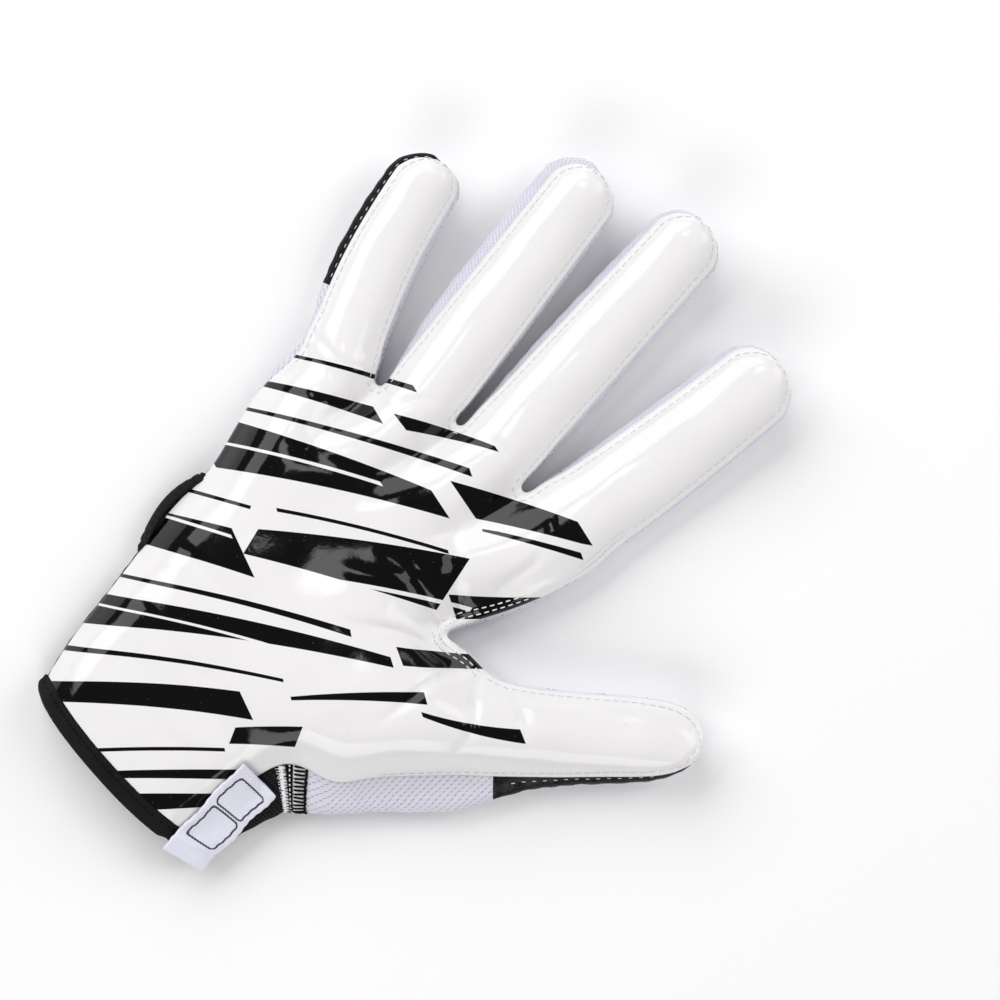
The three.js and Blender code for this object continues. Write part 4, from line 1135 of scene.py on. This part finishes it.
def height_over(pieces, reach=1.2):
    """A function that tells how high the pieces stand near a place, felt from above."""
    trees = [BVHTree.FromObject(piece, bpy.context.evaluated_depsgraph_get()) for piece in pieces]
    steps = [(dx, dy) for dx in (-reach, 0, reach) for dy in (-reach, 0, reach)] if reach else [(0, 0)]

    def height(x, y):
        found = [0.0]
        for dx, dy in steps:
            for tree in trees:
                hit = tree.ray_cast(Vector((x + dx, y + dy, 90)) * MM, Vector((0, 0, -1)))[0]
                if hit is not None:
                    found.append(hit.z / MM)
        return max(found)

    return height


def make_tab():
    bpy.context.view_layer.update()
    under = [palm_film, binding, wall_pieces["wrist_elastic_band"], wall_pieces["thumb_side_knit"]]
    height = height_over(under)
    corners = np.array(TAB_CORNERS)
    across, along = 5, 16
    sewn_lift, free_lift, drop = 0.85, 1.15, 0.45
    points, marks = [], []
    for r in range(along + 1):
        down = r / along
        for c in range(across + 1):
            side = c / across
            x, y = lerp(lerp(corners[0], corners[1], side), lerp(corners[3], corners[2], side), down)
            z = height(x, y) + (free_lift if r else sewn_lift)
            if r:
                z = max(z, points[(r - 1) * (across + 1) + c][2] - drop)
            points.append((x, y, z))
            marks.append((side * TAB_WIDTH, down * TAB_LENGTH, 0))
    cells = grid_cells(along + 1, across)
    tape, quads, _, cloth = smoothed(np.array(points), cells, [0] * len(cells), np.array(marks), 3)
    u, v = cloth[:, 0], cloth[:, 1]
    tape[:, 2] += 0.3 * ease(TAB_FOLD, TAB_FOLD + 1, v)
    tape[:, 2] += 0.22 * np.sin(v * 0.55 + u * 0.3) + 0.1 * np.sin(v * 1.3 + 1)
    tape[:, 0] += 0.3 * np.sin(v * 0.42 + 0.6) + 0.08 * np.sin(v * 2.3)
    return sewn_sheet("tab_tape", tape, quads, cloth, TAB_WALL, make_tab_finish())


tab = make_tab()
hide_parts("label_tab")
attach(tab, "root")


# The stitches: short pulled dashes of twisted thread, each a small closed body that sinks into the
# cloth at its ends. They run just inside the film's edge, along the back's seams, on the black
# strips, the strap, the binding and the tab, and in two white rows at the thumb's crotch.
def make_thread_finish(name, low, high, hole):
    """Twisted thread, painted darker towards its ends: painted shade where it goes into its needle holes.
    """
    finish, _, cloth = new_finish(name, {"Specular IOR Level": 0.12})
    u, v, end = cloth.parts()
    ply = (u * 11.0 + v).ripple()
    # Towards the dash's ends the colour turns to hole, the painted shade of the needle hole.
    color = end.rise(0.66, 0.9).tint(ply.tint(low, high), hole)
    wear(finish, color, 0.6 + ply * 0.2, ply, 0.05)
    return finish


def resampled(line, pitch):
    steps = np.linalg.norm(np.diff(line[:, :3], axis=0), axis=1)
    reach = np.concatenate([[0], np.cumsum(steps)])
    at = np.arange(pitch / 2, reach[-1], pitch)
    return np.stack([np.interp(at, reach, line[:, k]) for k in range(line.shape[1])], axis=1)


# A dash from end to end: where on its length, how thick, and how far up it stands, of its radius.
DASH = [(-0.5, 0.25, -0.54), (-0.36, 0.9, -0.06), (0, 1, 0.15), (0.36, 0.9, -0.06), (0.5, 0.25, -0.54)]
SIDES, FLATNESS = 6, 0.75
DASH_POINTS, DASH_MARKS = [], []
for along, thick, up in DASH:
    for k in range(SIDES):
        c, s = turned(360 * k / SIDES)
        DASH_POINTS.append((along, c * thick, s * thick * FLATNESS + up))
        DASH_MARKS.append((along, k, 2 * abs(along)))


def dash_faces(first):
    """The faces of one dash: rings of four-sided faces, closed at both ends."""
    rings = np.arange(first, first + len(DASH_POINTS)).reshape(len(DASH), SIDES)
    faces = []
    for a, b in zip(rings, rings[1:]):
        faces += np.stack([a, np.roll(a, -1), np.roll(b, -1), b], axis=1).tolist()
    return [*faces, rings[0][::-1], rings[-1]]


def dashes(line, pitch, length, radius, proud=0.05, turn=0, jitter=0):
    """Dashes along a line of places with normals, each turned on the cloth by turn and up to jitter."""
    line = resampled(line, pitch)
    at, normals = line[:, :3], line[:, 3:]
    points = []
    for i, (place, normal) in enumerate(zip(at, normals)):
        before, after = at[max(i - 1, 0)], at[min(i + 1, len(at) - 1)]
        if np.linalg.norm(after - before) < 1e-6:
            continue
        ahead = unit(after - before)
        normal = unit(normal - ahead * np.dot(normal, ahead))
        c, s = turned(turn + jitter * math.sin(2.4 * i + 5.1 * math.sin(i)))
        ahead = ahead * c + np.cross(normal, ahead) * s
        axes = np.array([ahead, np.cross(normal, ahead), normal])
        points.append(place + normal * proud + (np.array(DASH_POINTS) * (length, radius, radius)) @ axes)
    return points


def sew(name, lines, finish, slot, pitch, length, *sizes):
    """One piece of all the dashes along the lines. Its sizes are those that dashes has."""
    points = [dash for line in lines for dash in dashes(line, pitch, length, *sizes)]
    faces = [face for i in range(len(points)) for face in dash_faces(i * len(DASH_POINTS))]
    marks = np.tile(np.array(DASH_MARKS) * (length, 1, 1), (len(points), 1))
    piece = make_piece(name, np.concatenate(points), faces, finish, marks)
    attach(piece, "root")


def tree_of(points, quads):
    return BVHTree.FromPolygons(points.tolist(), quads.tolist())


film_tree = tree_of(front, front_quads)
back_tree = tree_of(back, back_quads)
wall_tree = tree_of(wall, wall_quads)
strap_tree = tree_of(strap_points, strap_quads)
binding_tree = tree_of(binding_points, binding_quads)


def laid(tree, places):
    """The places moved to the nearest of a surface, each with the surface's normal."""
    hits = [tree.find_nearest(Vector(place)) for place in places]
    return np.array([(*hit, *normal) for hit, normal, _, _ in hits])


def inset_line(tree, points, quads, rim, inset, start):
    """A sheet's rim moved in by inset, felt on the sheet from the height start."""
    out = rim_outward(points[rim], corner_normals(points, quads)[rim], 2)
    line = []
    for x, y, _ in points[rim] - out * inset:
        hit, normal, _, _ = tree.ray_cast(Vector((x, y, start)), Vector((0, 0, -start)))
        if hit is not None:
            line.append((*hit, *normal))
    return np.array(line)


def stretches(line, keep, least=6):
    """The parts of a closed line where keep holds, each as one open line of more than least places."""
    kept = np.array([bool(keep(x, y)) for x, y in line[:, :2]])
    first = np.flatnonzero(kept & ~np.roll(kept, 1))[0]
    line, kept = np.roll(line, -first, axis=0), np.roll(kept, -first)
    parts = np.split(line, np.flatnonzero(np.diff(kept)) + 1)
    return [part for part in parts[::2] if len(part) > least]


# Each thread's last colour is painted shade at its needle holes, where the dash ends sink into the cloth.
grey_hole_shade, black_hole_shade = (0.16, 0.16, 0.16), (0.001, 0.001, 0.001)
pale_thread = make_thread_finish("pale_thread", (0.6, 0.6, 0.6), (0.82, 0.82, 0.81), grey_hole_shade)
plain_thread = make_thread_finish("plain_thread", (0.84, 0.84, 0.85), (0.96, 0.96, 0.96), (0.7, 0.7, 0.72))
white_thread = make_thread_finish("white_thread", (0.66, 0.66, 0.67), (0.9, 0.9, 0.9), black_hole_shade)
grey_thread = make_thread_finish("grey_thread", (0.03, 0.03, 0.032), (0.09, 0.09, 0.095), black_hole_shade)
dark_thread = make_thread_finish("dark_thread", (0.001, 0.001, 0.001), (0.003, 0.003, 0.003), black_hole_shade)


def at_thumb_crotch(x, y):
    return 35 < x < 53 and -13 < y < 18 or 52 < x < 61 and 10 < y < 48


def on_digits(x, y):
    return (y > 17 or x > 52) and not at_thumb_crotch(x, y)


def film_line(inset):
    return inset_line(film_tree, front, front_quads, front_rims[0], inset, 90)


film_rows = stretches(film_line(STITCH_INSET), on_digits)
sew("finger_stitches", film_rows, pale_thread, "palm_film", 2.5, 1.5, 0.16)
crotch_rows = [line for inset in (1.7, 3.6) for line in stretches(film_line(inset), at_thumb_crotch)]
sew("crotch_stitches", crotch_rows, white_thread, "palm_film", 2.25, 1.65, 0.2)


def on_back_knit(x, y):
    return y > -38


back_line = inset_line(back_tree, back, back_quads, rim_of(back_quads)[0], 2.2, -90)
sew("back_seam_stitches", stretches(back_line, on_back_knit), pale_thread, "knit", 1.95, 1.4, 0.17, 0)
wrist_seam = [palm_point(c, THUMB_FOOT - 0.12, True) for c in range(1, COLUMNS)]
sew("wrist_seam_stitches", [laid(back_tree, wrist_seam)], pale_thread, "knit", 1.95, 1.4, 0.17, 0)

strip_lines = []
for before, strip in zip(WALLS, WALLS[1:]):
    if strip[2] is black_strip:
        stops = np.arange(before[1] + 0.15, strip[1] - 0.1, 0.25)
        strip_lines.append(laid(wall_tree, [wall_point(stop, 0.2) for stop in stops]))
sew("strip_stitches", strip_lines, white_thread, "black_film", 2.9, 1.3, 0.13)

strap_lines = []
for row in (STRAP_FIRST + 0.24, STRAP_LAST - 0.24):
    strap_lines.append(laid(strap_tree, [strap_place(step, row) for step in range(1, STRAP_STEPS)]))
for step in (1, 5):
    rows = np.linspace(STRAP_FIRST + 0.3, STRAP_LAST - 0.3, 9)
    strap_lines.append(laid(strap_tree, [strap_place(step, row) for row in rows]))
sew("strap_stitches", strap_lines, grey_thread, "black_cloth", 2.6, 1.9, 0.2)

binding_row = laid(binding_tree, [place + outward * 1.1 + (0, -0.8, 0) for place, outward in mouth])
sew("binding_stitches", [binding_row], dark_thread, "black_binding", 1.5, 1.05, 0.24, 0.08)


# The overlock that joins the elastic to the knit: on the knit black ladder loops and a scalloped
# black edge over white thread, white stitches with black ties on the joint, and on the elastic the
# cut white ends, with dark nicks between them and loose thread fraying out.
# Each row: its name, how far it lies past the joint in millimetres, its thread, and then the
# pitch, the length, the radius, how proud, the turn and the jitter of its dashes.
OVERLOCK = [
    ("overlock_ground", -1.3, plain_thread, 0.35, 3.4, 0.28, 0.05, 90, 0),
    ("overlock_loops", -1.3, dark_thread, 1.12, 3.4, 0.34, 0.4, 84, 5),
    ("overlock_edge", -2.55, dark_thread, 1.12, 1.35, 0.36, 0.35, 0, 30),
    ("overlock_rows", 0.7, white_thread, 1.4, 1.1, 0.24, 0.25, 0, 0),
    ("overlock_ties", 0.7, dark_thread, 0.9, 1.5, 0.16, 0.3, 70, 15),
    ("overlock_ends", 2.3, plain_thread, 0.4, 2.1, 0.22, 0.2, 90, 14),
    ("overlock_nicks", 1.6, dark_thread, 0.9, 1.3, 0.11, 0.5, 80, 25),
    ("overlock_frayed", 3.2, plain_thread, 0.75, 1.2, 0.09, 0.15, 90, 40),
]
joint = stop_at("palm", COLUMNS, THUMB_FOOT)
stop_length = np.linalg.norm(wall_point(joint + 0.5, 0.5) - wall_point(joint - 0.5, 0.5))
for name, past, thread, *dash in OVERLOCK:
    downs = np.linspace(0.02, 0.95, 14)
    row = laid(wall_tree, [wall_point(joint + past / stop_length, down) for down in downs])
    sew(name, [row], thread, "knit", *dash)

# The row that holds the tab's upper end.
tab_height = height_over([tab], 0)
left, right, _, _ = np.array(TAB_CORNERS)
top = [lerp(left, right, t) - (0, 1.3) for t in np.linspace(0.06, 0.94, 12)]
tab_row = np.array([(x, y, tab_height(x, y), 0, 0, 1) for x, y in top])
sew("tab_stitches", [tab_row], plain_thread, "woven_tab", 1.5, 1.1, 0.16)
